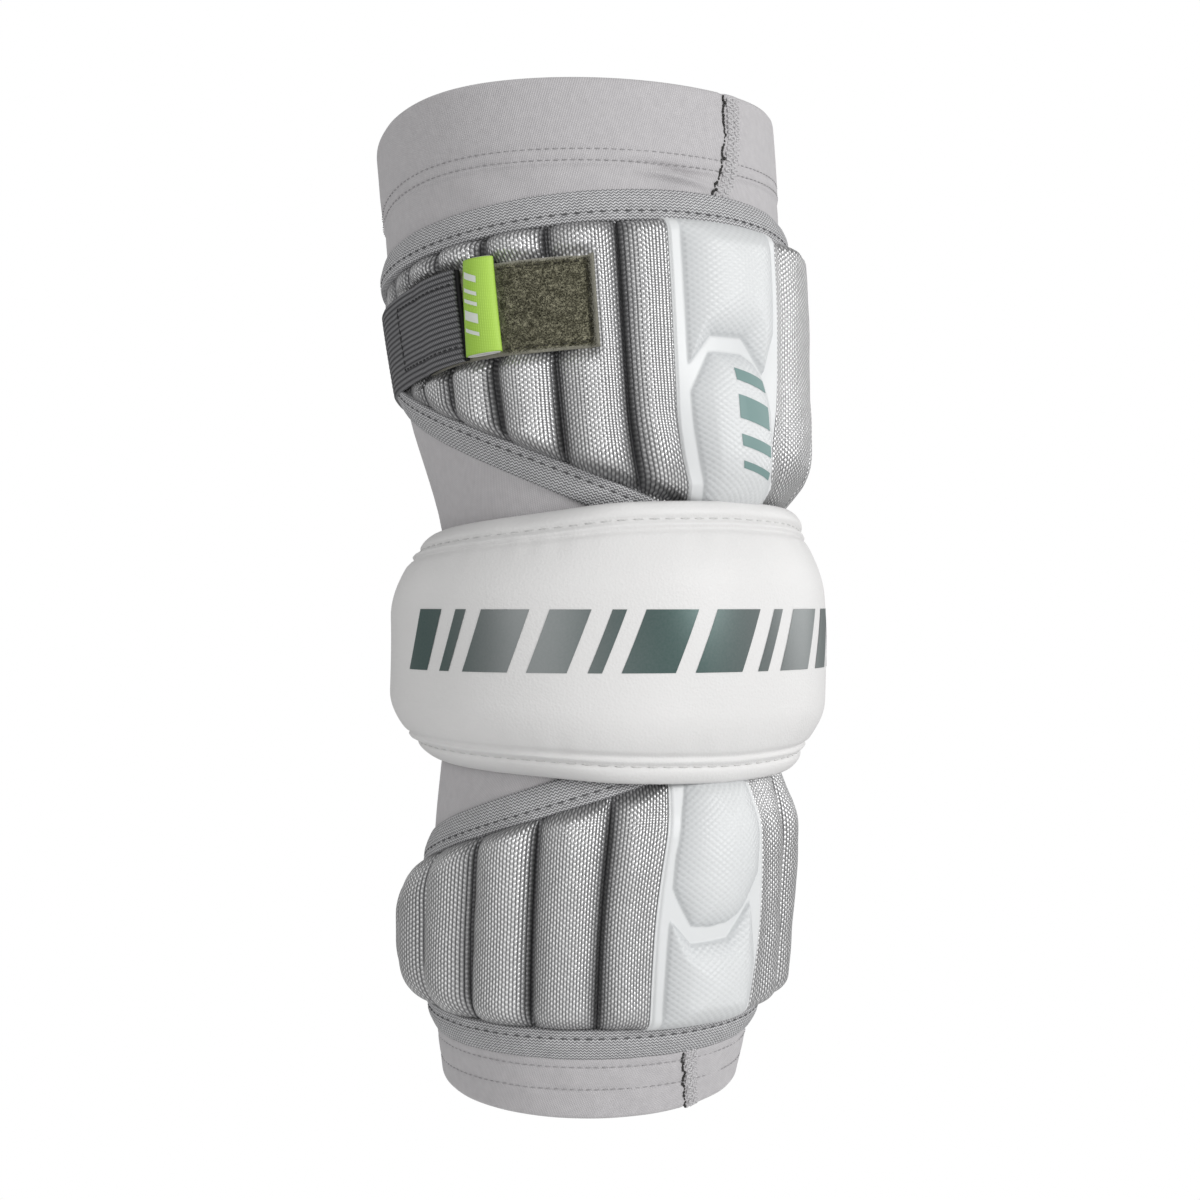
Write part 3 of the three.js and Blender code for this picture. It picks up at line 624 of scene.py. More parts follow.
# Each pad is a quilt of soft foam bars between two layers of coarse shiny nylon, sewn along the
# grooves. The bars pucker where the binding tape pulls their ends down.
TAPE_MARGIN = 4.3
GROOVE = 0.9
PANEL_SIDE = 6.4
STRAP_SEAT = 0.6
PANEL_TUCK = 3.4
PANEL_FALL = 4.5
PANEL_END = 0.5
PADS = {
    "upper_arm": {
        "turn": 0.5,
        "grooves": [-130, -117, -104, -91, -77.5, -62.5, -46, -27.8, -16.4, 16.4, 50, 66, 82, 98, 113, 128],
        "half_height": [28, 39, 52, 66, 125],
        "half": [14.6, 15.3, 15.6, 16.3, 16.5],
        "middle": [4.6, 4.3, 1, 0, 0],
        "top_height": [28, 35, 39, 43, 47, 52, 61, 80, 96, 125],
        "top_radius": [51.3, 53.2, 55.2, 58.6, 61.8, 64, 65.2, 66.2, 67.8, 69],
        "back_rise": -8,
        "low_end": (4.5, 7),
        "high_end": (3.2, 6),
    },
    "forearm": {
        "turn": -2.6,
        "grooves": [-134, -116, -95, -74, -53, -32, -16.8, 16.8, 36, 56, 75, 94, 114, 131],
        "half_height": [-112, -75, -39, -28],
        "half": [17.8, 18.3, 15.4, 14.6],
        "middle": [0.8, 0.6, 1.4, 1.4],
        "top_height": [-115, -88, -60, -53, -48, -44, -39, -35, -28],
        "top_radius": [58, 58.9, 59.2, 58.6, 57.3, 55.6, 53.4, 52, 51],
        "back_rise": 2.1,
        "low_end": (6.5, 16),
        "high_end": (4, 14),
    },
}
STRAP_PATH = {
    "turn": [-245, -180, -120, -104, -90, -68, -50, -34],
    "height": [83, 79, 84.6, 86, 87.4, 90.2, 91.6, 92.8],
}
STRAP_HALF = 12.7
STRAP_PRESS = {"depth": 3.6, "sides": (-0.4, 3.2), "front": (33.2, 36.5), "back": (108, 116)}
PANEL_SINK = 2.2
PAD_CLOTH = 1.1
# The weave's two tones: the near-white is a painted glint on the shiny yarn crowns, the near-black painted
# shade between the yarns.
RIB_GLINT_WHITE = (1.0, 1.0, 1.0)
RIB_DARK = (0.065, 0.065, 0.07)
YARN = {"across": 0.98, "up": 1.4}


def strap_middle(turn):
    turn = np.where(np.asarray(turn) > 60, np.asarray(turn) - 360, turn)
    return smooth_table(STRAP_PATH["turn"], STRAP_PATH["height"], turn)


def panel_edge(pad):
    """The groove beside a pad's middle, where its panel ends."""
    return min(g for g in PADS[pad]["grooves"] if g > 0)


def panel_place(pad, height):
    """The middle and the half width of a panel at a height, in degrees."""
    facts = PADS[pad]
    middle = smooth_table(facts["half_height"], facts["middle"], height)
    return middle, smooth_table(facts["half_height"], facts["half"], height)


def fanned(pad, turn, height):
    """A turn on a pad, fanned so that its inner grooves follow the panel's sides."""
    widest = panel_edge(pad)
    middle, half = panel_place(pad, height)
    beside = 1 - ease(widest, 46, np.abs(turn))
    spread = np.sign(turn) * (half - widest) * np.minimum(np.abs(turn) / widest, 1)
    return PADS[pad]["turn"] + turn + (middle + spread) * beside


def pressed(turn, height):
    """How far the strap and its patch press the upper pad down, from 0 to 1."""
    beyond = np.abs(height - strap_middle(turn)) - STRAP_HALF
    across = 1 - ease(*STRAP_PRESS["sides"], beyond)
    return across * np.maximum(ease(*STRAP_PRESS["front"], -turn), ease(*STRAP_PRESS["back"], turn))


def rib_top(pad, turn, height):
    facts = PADS[pad]
    radius = smooth_table(facts["top_height"], facts["top_radius"], height)
    top = radius + facts["back_rise"] * ease(62, 118, np.abs(turn)) - sleeve_radius(height)
    if pad == "upper_arm":
        top = top - STRAP_PRESS["depth"] * pressed(turn, height)
    return np.maximum(top, PAD_EDGE + STRAP_SEAT)


def round_end(distance, length):
    return np.sqrt(1 - (1 - np.clip(distance / length, 0, 1)) ** 2)


def rib_share(pad, turn):
    """Where a turn lies between two grooves, from 0 to 1, and 0 on the flat ends of the pad."""
    lines = np.array(PADS[pad]["grooves"], float)
    i = np.clip(np.searchsorted(lines, turn, side="right") - 1, 0, len(lines) - 2)
    share = np.clip((turn - lines[i]) / (lines[i + 1] - lines[i]), 0, 1)
    return np.where((turn < lines[0]) | (turn > lines[-1]), 0, share)


def from_panel_end(pad, turn, height):
    """How far a height is inside the nearer end of a panel."""
    return np.minimum(height - edge_low(pad, turn), edge_high(pad, turn) - height) - PANEL_TUCK


def panel_seat(pad, turn, height):
    """What a panel lies on: a hollow down the pad that falls away at both ends and to its sides."""
    under = np.maximum(rib_top(pad, turn, height) - PANEL_SINK, PAD_EDGE)
    inwards = np.clip(2 * (1 - np.abs(turn) / panel_edge(pad)), 0, 1)
    full = mix(np.minimum(PANEL_SIDE, under), under, inwards)
    return PANEL_END + (full - PANEL_END) * round_end(from_panel_end(pad, turn, height), PANEL_FALL)


def pad_out(pad, turn, height):
    """How far a pad's cloth stands off the sleeve, and how far its painted shade lets the weave's tone
    through: 0 along seams, 1 on a crown.
    """
    facts = PADS[pad]
    low = height - edge_low(pad, turn) - TAPE_MARGIN
    high = edge_high(pad, turn) - height - TAPE_MARGIN
    near = np.exp(-np.clip(low, 0, 99) / 3) + np.exp(-np.clip(high, 0, 99) / 3)
    across = np.clip(1 - np.abs(2 * rib_share(pad, turn) - 1) ** 2.1, 0, 1) ** 0.6
    across = across ** (1 + 0.25 * near)
    behind = ease(60, 110, np.abs(turn))
    fade = round_end(low, mix(*facts["low_end"], behind)) * round_end(high, mix(*facts["high_end"], behind))
    widest = panel_edge(pad)
    seat = panel_seat(pad, turn, height)
    sewn = mix(PAD_EDGE, GROOVE, np.minimum(fade * 1.5, 1))
    at_panel = 1 - ease(0, 7, np.abs(np.abs(turn) - widest))
    sewn = np.maximum(sewn, at_panel * (seat + 1.1))
    along = turn * 1.05
    uneven = 0.45 * ripples(along * 1.5, height * 0.45, size=15, seed=21)
    uneven = uneven + 0.2 * ripples(along, height, size=6, seed=22)
    pucker = 0.6 * near * ripples(along * 2.6, height * 0.4, size=6, seed=23)
    foam = np.maximum(rib_top(pad, turn, height) - sewn, 0)
    out = sewn + (foam + uneven + pucker) * across * fade
    edge = (low < 0) | (high < 0) | (np.abs(turn) > BACK_END - 5)
    out = np.where(edge, PAD_EDGE, out)
    under_panel = np.abs(turn) < widest - 0.2
    out = np.where(under_panel, np.minimum(seat - 0.3, np.maximum(out, 0.2)), out)
    # Painted shade: the cloth darkens within a few millimetres of each groove, more widely on the back
    # ribs, and by almost half near the tape at the rib ends.
    lines = np.array([g for g in facts["grooves"] if abs(g) > widest])
    from_groove = np.abs(np.asarray(turn)[..., None] - lines).min(axis=-1) * PAD_CLOTH
    groove_shade = 1 - np.exp(-((from_groove / (1.5 + 1.5 * ease(50, 90, np.abs(turn)))) ** 1.2))
    return out, groove_shade * mix(0.55, 1, ease(-1, 6, np.minimum(low, high)))


def noted(tree, name):
    """The value that a piece keeps under that name for each of its points."""
    kept = tree.nodes.new("ShaderNodeAttribute")
    kept.attribute_name = name
    return kept.outputs["Fac"]


def rib_cloth_finish():
    """Plain weave of thick shiny yarns: columns of grains, each half a grain off the next; the grains'
    white is a painted glint, the dark between them painted shade.
    """
    material, tree, shader = start_finish("rib_cloth", roughness=0.34, specular=0.5)
    u, v = cloth_map(tree)
    columns = calc(tree, "DIVIDE", u, YARN["across"])
    odd = calc(tree, "ABSOLUTE", calc(tree, "MODULO", calc(tree, "FLOOR", columns), 2.0))
    side = calc(tree, "MULTIPLY_ADD", odd, 2.0, -1.0)
    bow = calc(tree, "SINE", calc(tree, "MULTIPLY", calc(tree, "FRACT", columns), math.pi))
    grain = calc(tree, "COSINE", calc(tree, "MULTIPLY", v, 2 * math.pi / YARN["up"]))
    rises = calc(tree, "MULTIPLY_ADD", calc(tree, "MULTIPLY", grain, side), 0.5, 0.5)
    yarns = calc(tree, "MULTIPLY_ADD", calc(tree, "POWER", rises, 1.3), 0.55, 0.42)
    yarns = calc(tree, "MULTIPLY", calc(tree, "POWER", bow, 0.8), yarns)
    patchy = calc(tree, "MULTIPLY_ADD", clouds(tree, 1.6, 3.0), 0.5, 0.72)
    # Painted shade: the share noted on the pad darkens the weave along its grooves and at the rib ends.
    painted_groove_shade = calc(tree, "MINIMUM", calc(tree, "MULTIPLY_ADD", noted(tree, "groove_shade"), 0.85, 0.2), 1.0)
    bright = calc(tree, "MULTIPLY", calc(tree, "MULTIPLY", yarns, patchy), painted_groove_shade)
    tree.links.new(tint(tree, bright, RIB_DARK, RIB_GLINT_WHITE), shader.inputs["Base Color"])
    shader.inputs["Metallic"].default_value = 0.65
    relief(tree, shader, yarns, depth=0.26)
    return material


def pad_columns(pad):
    lines = [-BACK_END, -BACK_END + 1.5, -BACK_END + 5, *PADS[pad]["grooves"]]
    lines += [BACK_END - 5, BACK_END - 1.5, BACK_END]
    parts = []
    for a, b in zip(lines, lines[1:]):
        count = max(3, round((b - a) / 0.95))
        even = np.linspace(0, 1, count, endpoint=False)
        bunched = 0.5 - 0.5 * np.cos(math.pi * even)
        parts.append(a + (b - a) * mix(even, bunched, 0.6))
    return np.concatenate(parts + [[BACK_END]])[:, None]


def note(piece, name, values):
    """Keeps a value for each point of a shell's face, for its finish to read."""
    layer = piece.data.attributes.new(name, "FLOAT", "POINT")
    layer.data.foreach_set("value", np.concatenate([values.ravel(), values.ravel() * 0]).astype(np.float32))


def ribbed_pad(name, pad):
    """A pad's quilted cloth, from its outer face through to the sleeve under it."""
    turn = pad_columns(pad)
    low, high = edge_low(pad, turn), edge_high(pad, turn)
    share = steps([0, 0.06, 0.22, 0.78, 0.94, 1], [6, 20, 30, 20, 6])[None, :]
    height = mix(low, high, share)
    placed = fanned(pad, turn, height)
    out, groove_shade = pad_out(pad, turn, height)
    face = on_arm(placed, height, out)
    back = on_arm(placed, height, 0.15)
    piece = shell(name, face, back, cloth_grid(turn * PAD_CLOTH, height), RIB_CLOTH)
    # The finish reads this share as painted shade in the grooves and at the rib ends.
    note(piece, "groove_shade", groove_shade)
    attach(piece, "root")
    return piece


RIB_CLOTH = rib_cloth_finish()
upper_arm_ribs = ribbed_pad("upper_arm_ribs", "upper_arm")
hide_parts("upper_arm_pad")
forearm_ribs = ribbed_pad("forearm_ribs", "forearm")
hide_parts("forearm_pad")


# A grey twill tape is folded over each pad's raw edge and sewn through once, nearer its inner
# side, with darker thread. It runs round the pad and dips to the sleeve beyond the edge.
TAPE = 1.0
TAPE_SECTION = {
    "across": [5.0, 4.9, 4.2, 2.8, 1.1, -0.6, -1.5, -2.4, -3.6, -4.1, -4.2],
    "out": [0.1, 0.7, 1.3, 1.9, 2.5, 2.75, 2.45, 2.8, 2.75, 2.4, 1.5],
}
TAPE_STITCH = -1.5
TAPE_LIGHT = (0.86, 0.86, 0.875)
TAPE_DARK = (0.12, 0.12, 0.125)


def tape_finish():
    """Herringbone: fine zigzag ridges that run along the tape."""
    material, tree, shader = start_finish("binding_tape", roughness=0.5, specular=0.45)
    u, v = cloth_map(tree)
    slant = calc(tree, "SUBTRACT", calc(tree, "FRACT", calc(tree, "DIVIDE", u, 1.3)), 0.5)
    zigzag = calc(tree, "ABSOLUTE", slant)
    ridges = wave(tree, calc(tree, "MULTIPLY_ADD", zigzag, 1.1, v), 0.86)
    threads = wave(tree, calc(tree, "MULTIPLY_ADD", v, 0.4, u), 0.42)
    floats = calc(tree, "MULTIPLY", ridges, calc(tree, "MULTIPLY_ADD", threads, 0.4, 0.6))
    patchy = calc(tree, "MULTIPLY_ADD", clouds(tree, 1.4, 3.0), 0.6, 0.62)
    bright = calc(tree, "MULTIPLY", floats, patchy)
    tree.links.new(tint(tree, bright, TAPE_DARK, TAPE_LIGHT), shader.inputs["Base Color"])
    relief(tree, shader, floats, depth=0.2)
    return material


def pad_outline(pad):
    """The line of a pad's edge, once round: turns and heights, about a millimetre apart."""
    across = np.linspace(-BACK_END + CORNER, BACK_END - CORNER, 260)
    corner = BACK_END - CORNER * (1 - np.sin(np.linspace(0, math.pi / 2, 14)[1:]))
    turn = np.concatenate([-corner[::-1], across, corner])
    low, high = edge_low(pad, turn), edge_high(pad, turn)
    side = np.linspace(0, 1, 14)[1:-1]
    right = mix(low[-1], high[-1], side)
    left = mix(high[0], low[0], side)
    turns = np.concatenate([turn, np.full(12, BACK_END), turn[::-1], np.full(12, -BACK_END)])
    return turns, np.concatenate([low, right, high[::-1], left])


def beside_outline(pad, across):
    """Turns and heights along a pad's outline, shifted outwards by some millimetres."""
    turn, height = pad_outline(pad)
    per_degree = sleeve_radius(height) * math.radians(1)
    along_x = (np.roll(turn, -1) - np.roll(turn, 1)) * per_degree
    along_z = np.roll(height, -1) - np.roll(height, 1)
    length = np.hypot(along_x, along_z)
    shifted = turn + across * along_z / length / per_degree
    return shifted + PADS[pad]["turn"], height - across * along_x / length


def bound_tape(name, pad, node):
    """The tape round a pad, and its row of stitches."""
    index = np.arange(len(TAPE_SECTION["across"]))
    section = steps([0, index[-1]], [22])
    across = np.interp(section, index, TAPE_SECTION["across"])
    out = smooth_table(index, TAPE_SECTION["out"], section)
    turn, height = pad_outline(pad)
    along = np.cumsum(np.hypot(np.diff(turn, append=turn[0]), np.diff(height, append=height[0])))
    places = [beside_outline(pad, a) for a in across]
    turn, height = (np.stack(part, axis=1) for part in zip(*places))
    uneven = 0.16 * ripples(along[:, None], across[None, :] * 1.5, size=7, seed=31)
    seated = np.clip(out + uneven, 0.1, None)
    face = on_arm(turn, height, seated)
    back = on_arm(turn, height, np.clip(seated - TAPE, 0.02, None))
    piece = shell(name, face, back, cloth_grid(along[:, None], across[None, :]), TAPE_FINISH, ring=True)
    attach(piece, "root")
    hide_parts(node)
    line = on_arm(*beside_outline(pad, TAPE_STITCH), 2.62)
    closed = np.concatenate([line, line[:1]])
    sew(name + "_stitches", [closed], GREY_THREAD, pitch=3.5, length=1.9, thickness=0.55)


TAPE_FINISH = tape_finish()
for pad in ("upper_arm", "forearm"):
    bound_tape(pad + "_binding", pad, pad + "_tape")


# A panel of moulded foam under a smooth cool white film runs down the front of each pad. Flat
# lines are pressed into it, and the soft pillows between them carry a fine dotted emboss.
PANEL_LINE = 2.0
PANEL_CLOTH = 1.08
PANEL_WHITE = (0.685, 0.698, 0.702)
# The grey of the painted shade on the pillows' slopes.
PANEL_PAINTED_SHADE = (0.43, 0.45, 0.465)
PILLOW = 5.4
PILLOWS = {
    "upper_arm": [
        {
            "turn": [-13.1, -12.8, -6.7, 2.3, 9.4, 13.7, 13.9],
            "height": [118, 75.6, 84.2, 84.1, 74.4, 86.5, 118],
        },
        {
            "turn": [-5.2, -9.2, -12.4, -7.3, 1.9, 5.6, 8, 10.1, 12.3, 14, 18],
            "height": [34, 48, 68.5, 79.6, 79.5, 77.4, 75, 70.8, 64, 52, 34],
        },
    ],
    "forearm": [
        {
            "turn": [-10.6, -13.6, -15.7, -16.2, -14.8, -10.4, -4.5, 0.9, 4.2, 6.6, 12, 12.4, 11],
            "height": [-34, -46, -57.5, -66.2, -69.6, -77.3, -77.8, -77, -75.3, -72.8, -64, -50, -34],
        },
        {
            "turn": [-16.4, -16.6, -10.3, 1, 9, 13.4, 13],
            "height": [-108, -75.1, -82.2, -81.6, -71.5, -90, -108],
        },
    ],
}


def panel_finish():
    """Satin film with staggered dots about a millimetre apart on the pillows, and painted shade that greys
    the pillows' slopes and their dots.
    """
    material, tree, shader = start_finish("moulded_panel", roughness=0.42, specular=0.45)
    u, v = cloth_map(tree)
    first = calc(tree, "MULTIPLY", wave(tree, u, 2.2), wave(tree, v, 1.7))
    second = calc(tree, "MULTIPLY", wave(tree, u, 2.2, math.pi), wave(tree, v, 1.7, math.pi))
    dots = calc(tree, "MAXIMUM", first, second)
    pillow = noted(tree, "pillow")
    height = calc(tree, "MULTIPLY", dots, calc(tree, "MINIMUM", calc(tree, "MULTIPLY", pillow, 4.0), 1.0))
    # Painted shade: the film greys where a pillow rises from the flat lines, and its dots darken on these
    # slopes, less on the crowns.
    slope = calc(tree, "SUBTRACT", 1.0, pillow)
    painted_slope_shade = calc(tree, "MULTIPLY_ADD", slope, 0.34, 0.02)
    field = calc(tree, "MINIMUM", calc(tree, "MULTIPLY", pillow, 9.0), painted_slope_shade)
    speck = calc(tree, "MULTIPLY", height, calc(tree, "MULTIPLY_ADD", slope, 0.26, 0.04))
    shade = calc(tree, "SUBTRACT", calc(tree, "SUBTRACT", 1.0, field), speck)
    tree.links.new(tint(tree, shade, PANEL_PAINTED_SHADE, PANEL_WHITE), shader.inputs["Base Color"])
    relief(tree, shader, height, depth=0.15)
    return material


def inside_distance(x, y, outline_x, outline_y):
    """How far each point lies inside a closed outline, and 0 outside it."""
    inside = np.zeros(x.shape, bool)
    nearest = np.full(x.shape, 1e9)
    corners = list(zip(outline_x, outline_y))
    for (ax, ay), (bx, by) in zip(corners, corners[1:] + corners[:1]):
        crosses = (ay > y) != (by > y)
        slant = (bx - ax) / (by - ay) if by != ay else 0.0
        inside ^= crosses & (x < ax + slant * (y - ay))
        length = (bx - ax) ** 2 + (by - ay) ** 2
        t = np.clip(((x - ax) * (bx - ax) + (y - ay) * (by - ay)) / length, 0, 1)
        nearest = np.minimum(nearest, np.hypot(x - ax - t * (bx - ax), y - ay - t * (by - ay)))
    return np.where(inside, nearest, 0)


def panel_out(pad, turn, height):
    """The panel's face above the sleeve, and how much of a pillow each point is."""
    x, y = np.broadcast_arrays(turn * 0.99, height)
    pillow = 0
    for shape in PILLOWS[pad]:
        heights = np.asarray(shape["height"], float)
        middle, half = panel_place(pad, heights)
        widths = (np.asarray(shape["turn"]) - PADS[pad]["turn"] - middle) * panel_edge(pad) / half
        inside = inside_distance(x, y, widths, heights)
        pillow = np.maximum(pillow, 0.12 * ease(0, 0.5, inside) + 0.88 * (1 - np.exp(-inside / 5)))
    crown = 1 - 0.25 * (turn / 16) ** 2
    end = from_panel_end(pad, turn, height)
    border = 0.5 * ease(0, 0.4, 16.2 - np.abs(turn)) - 0.5
    raised = (PANEL_LINE + border) * mix(0.45, 1, round_end(end, PANEL_FALL))
    return panel_seat(pad, turn, height) + raised + PILLOW * pillow * crown * ease(0.5, 8, end), pillow


def moulded_panel(name, pad, node):
    """A panel's film, from its face down to the hollow that it lies in."""
    turn = (steps([-1, -0.95, 0.95, 1], [4, 84, 4]) * panel_edge(pad))[:, None]
    low = edge_low(pad, turn) + PANEL_TUCK
    high = edge_high(pad, turn) - PANEL_TUCK
    share = steps([0, 0.06, 0.94, 1], [12, 130, 12])[None, :]
    height = mix(low, high, share)
    out, pillow = panel_out(pad, turn, height)
    placed = fanned(pad, turn, height)
    face = on_arm(placed, height, out)
    back = on_arm(placed, height, panel_seat(pad, turn, height) - 0.2)
    piece = shell(name, face, back, cloth_grid(turn * PANEL_CLOTH, height), PANEL_FINISH)
    # The finish reads this share to paint shade on the pillows' slopes and dots.
    note(piece, "pillow", pillow)
    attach(piece, "root")
    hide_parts(node)


PANEL_FINISH = panel_finish()
for pad in ("upper_arm", "forearm"):
    moulded_panel(pad + "_front", pad, pad + "_panel")


# The elbow cap is thick soft foam in smooth white synthetic leather. Its two faces meet in a flat
# sewn flange all round, and a raised welt lies between the stitches and the dome.
CAP_END = 148
CAP_END_ROUND = 24
CAP_END_HEIGHT = 0.36
CAP_EDGES = {
    "turn": [0, 30, 50, 80, 122, 150],
    "high": [39.4, 38.5, 36.5, 34, 31, 30],
    "low": [-38.6, -37.9, -36.9, -35.7, -34, -33],
}
CAP_CROWN = 64.8
CAP_FLANGE = 2.2
FLANGE_WIDTH = 6.5
FLANGE_ON_PADS = {"high": 58.4, "low": 56.6}
CAP_LEAVES_PADS = {"left": (28, 62), "right": (72, 108)}
WELT_RISE = {"high": 0.65, "low": 0.8}
WELT_RADIUS = 60
CROWN_RISE = {"high": 18, "low": 13}
CAP_FOAM = 7.5
CAP_STITCH = 4.9
CAP_ROLLS = [
    {"rise": 0.5, "inset": 2.6, "width": 1.7},
    {"rise": -0.75, "inset": CAP_STITCH, "width": 0.7},
    {"rise": 0.55, "inset": 6.3, "width": 0.7},
    {"rise": -0.9, "inset": 7.7, "width": 0.8},
]
CAP_CLOTH = 1.12
CAP_WHITE = (0.725, 0.72, 0.715)
CAP_SHADE = (0.675, 0.67, 0.665)


def leather_finish():
    """Fine even grain with a soft satin shine."""
    material, tree, shader = start_finish("cap_leather", roughness=0.5, specular=0.35)
    place = tree.nodes.new("ShaderNodeTexCoord")
    cells = tree.nodes.new("ShaderNodeTexVoronoi")
    cells.inputs["Scale"].default_value = 1 / (0.75 * MM)
    tree.links.new(place.outputs["Object"], cells.inputs["Vector"])
    grain = calc(tree, "MULTIPLY_ADD", cells.outputs["Distance"], 0.7, clouds(tree, 9, 3.0))
    tree.links.new(tint(tree, clouds(tree, 30), CAP_SHADE, CAP_WHITE), shader.inputs["Base Color"])
    relief(tree, shader, grain, depth=0.09)
    return material


def cap_span(turn):
    high = smooth_table(CAP_EDGES["turn"], CAP_EDGES["high"], np.abs(turn))
    low = smooth_table(CAP_EDGES["turn"], CAP_EDGES["low"], np.abs(turn))
    into = np.clip(np.abs(turn) - (CAP_END - CAP_END_ROUND), 0, CAP_END_ROUND) / CAP_END_ROUND
    rounding = CAP_END_HEIGHT + (1 - CAP_END_HEIGHT) * np.sqrt(1 - into**2)
    return (high + low) / 2, (high - low) / 2 * rounding


def between(table, upper):
    return mix(table["low"], table["high"], upper)


def cap_surface(turn, inset, side):
    """Height, distance out and thickness of the cap, so far in from its upper or lower edge."""
    middle, half = cap_span(turn)
    upper = ease(-0.4, 0.4, side * (half - inset) / half)
    from_end = (CAP_END - np.abs(turn)) * CAP_CROWN * math.radians(1)
    distance = np.minimum(inset, from_end)
    inwards = np.clip((distance - FLANGE_WIDTH) / between(CROWN_RISE, upper), 0, 1)
    crown = np.sin(inwards * math.pi / 2) ** 0.9
    on_sleeve = mix(sleeve_radius(-34), sleeve_radius(34), upper) + 0.9 + CAP_FLANGE
    left, right = ease(*CAP_LEAVES_PADS["left"], -turn), ease(*CAP_LEAVES_PADS["right"], turn)
    edge = mix(between(FLANGE_ON_PADS, upper), on_sleeve, np.where(turn < 0, left, right))
    welt = mix(edge, WELT_RADIUS, between(WELT_RISE, upper))
    flange = mix(edge, welt, np.minimum(distance / FLANGE_WIDTH, 1))
    height = middle + side * (half - inset)
    along = turn * CAP_CLOTH
    puff = sum(roll["rise"] * ridge(distance, roll["inset"], roll["width"]) for roll in CAP_ROLLS)
    tug = 0.22 * ridge(distance, 9.5, 3.5) * ripples(along * 1.4, distance * 0.2, size=5, seed=41)
    slack = 0.3 * ripples(along, height, size=30, seed=42)
    edge_round = -1.1 * np.exp(-distance / 0.55)
    dome = flange + (CAP_CROWN - welt) * crown - sleeve_radius(height)
    return height, dome + puff + tug + slack * crown + edge_round, CAP_FLANGE + CAP_FOAM * crown


def elbow_cap():
    """The cap's face and back, joined along its middle from a lower and an upper half."""
    half_turns = steps([0, CAP_END - 26, CAP_END - 8, CAP_END], [104, 20, 16])
    turn = np.concatenate([-half_turns[:0:-1], half_turns])[:, None]
    _, half = cap_span(turn)
    insets = steps([0, 0.06, 0.26, 0.6, 1], [5, 16, 14, 8])[None, :] * np.minimum(half, 40)
    lower = cap_surface(turn, insets, -1)
    upper = cap_surface(turn, insets[:, ::-1][:, 1:], 1)
    height, out, thick = (np.concatenate(pair, axis=1) for pair in zip(lower, upper))
    face = on_arm(turn, height, out)
    back = on_arm(turn, height, out - thick)
    return shell("elbow_cap_cover", face, back, cloth_grid(turn * CAP_CLOTH, height), leather_finish())


cap = elbow_cap()
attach(cap, "root")
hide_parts("elbow_cap")

CAP_THREAD = thread_finish("cap_thread", (0.72, 0.72, 0.71))
cap_lines = []
cap_turns = np.linspace(-CAP_END + 5, CAP_END - 5, 400)
for side in (-1, 1):
    height, out, _ = cap_surface(cap_turns, np.full(400, CAP_STITCH), side)
    cap_lines.append(on_arm(cap_turns, height, out + 0.12))
end_turn = CAP_END - CAP_STITCH / (CAP_CROWN * math.radians(1))
for turn in (-end_turn, end_turn):
    down = np.linspace(CAP_STITCH + 1, cap_span(turn)[1], 20)
    lower, upper = cap_surface(turn, down, -1), cap_surface(turn, down[::-1], 1)
    height, out, _ = (np.concatenate(pair) for pair in zip(lower, upper))
    cap_lines.append(on_arm(turn, height, out + 0.12))
sew("cap_stitches", cap_lines, CAP_THREAD, pitch=4.4, length=3.0, thickness=0.45)


# A plain row of slanted bars is printed round the middle of the cap in dark metallic green-grey,
# a second set stands on the upper panel, and a pale one on the pull tab.
PRINT_LIFT = 0.12
CAP_BARS = {
    "turn": [-96, -82, -74, -56, -41, -33, -15, 3, 11, 29, 44, 52, 70],
    "width": [9, 3.4, 13, 10, 3.4, 13, 13, 3.4, 13, 10, 3.4, 13, 9],
}
CAP_BAR_HEIGHT = (-7.5, 9.5)
BAR_LEAN = 6
PANEL_BARS = {"height": [72, 66, 61.5, 54, 48], "width": [3.4, 2, 4.6, 3.2, 2]}
PANEL_BAR_TURN = (-2.2, 8)
PRINT_DARK = (0.030, 0.075, 0.068)
PRINT_GREY = (0.20, 0.215, 0.215)
PANEL_PRINT = (0.17, 0.27, 0.26)


def print_finish(name, dark, light, roughness, metal):
    """Ink that turns from one tone to the other along the row."""
    material, tree, shader = start_finish(name, roughness, specular=0.5)
    shader.inputs["Metallic"].default_value = metal
    u, _ = cloth_map(tree)
    turned = calc(tree, "SINE", calc(tree, "MULTIPLY", u, 0.085))
    along = calc(tree, "MULTIPLY_ADD", turned, 0.42, 0.45)
    speckled = calc(tree, "MULTIPLY_ADD", clouds(tree, 0.6), 0.25, along)
    tree.links.new(tint(tree, speckled, dark, light), shader.inputs["Base Color"])
    return material


def printed(name, bars, finish):
    """Thin patches of ink on a face, each given by a grid of points and its map."""
    points, quads, corners = [], [], []
    first = 0
    for grid, uv in bars:
        quad = grid_quads(*grid.shape[:2])
        points.append(grid.reshape(-1, 3))
        corners.append(uv.reshape(-1, 2)[quad])
        quads.append(quad + first)
        first += grid.shape[0] * grid.shape[1]
    piece = build(name, np.concatenate(points), np.concatenate(quads), np.concatenate(corners), finish)
    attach(piece, "root")


def cap_out(turn, height):
    """How far the cap's face is out at a height near its middle."""
    middle, half = cap_span(turn)
    upper = cap_surface(turn, half - height + middle, 1)[1]
    lower = cap_surface(turn, half + height - middle, -1)[1]
    return np.where(height > 0, upper, lower)


bars = []
low, high = CAP_BAR_HEIGHT
for start, width in zip(CAP_BARS["turn"], CAP_BARS["width"]):
    height = np.linspace(low, high, 16)[None, :]
    lean = BAR_LEAN * (height - low) / (high - low)
    turn = start + lean + np.linspace(0, width, 14)[:, None]
    grid = on_arm(turn, height, cap_out(turn, height) + PRINT_LIFT)
    bars.append((grid, cloth_grid(turn, height)))
cap_ink = print_finish("cap_print", PRINT_DARK, PRINT_GREY, roughness=0.34, metal=0.35)
printed("cap_print", bars, cap_ink)

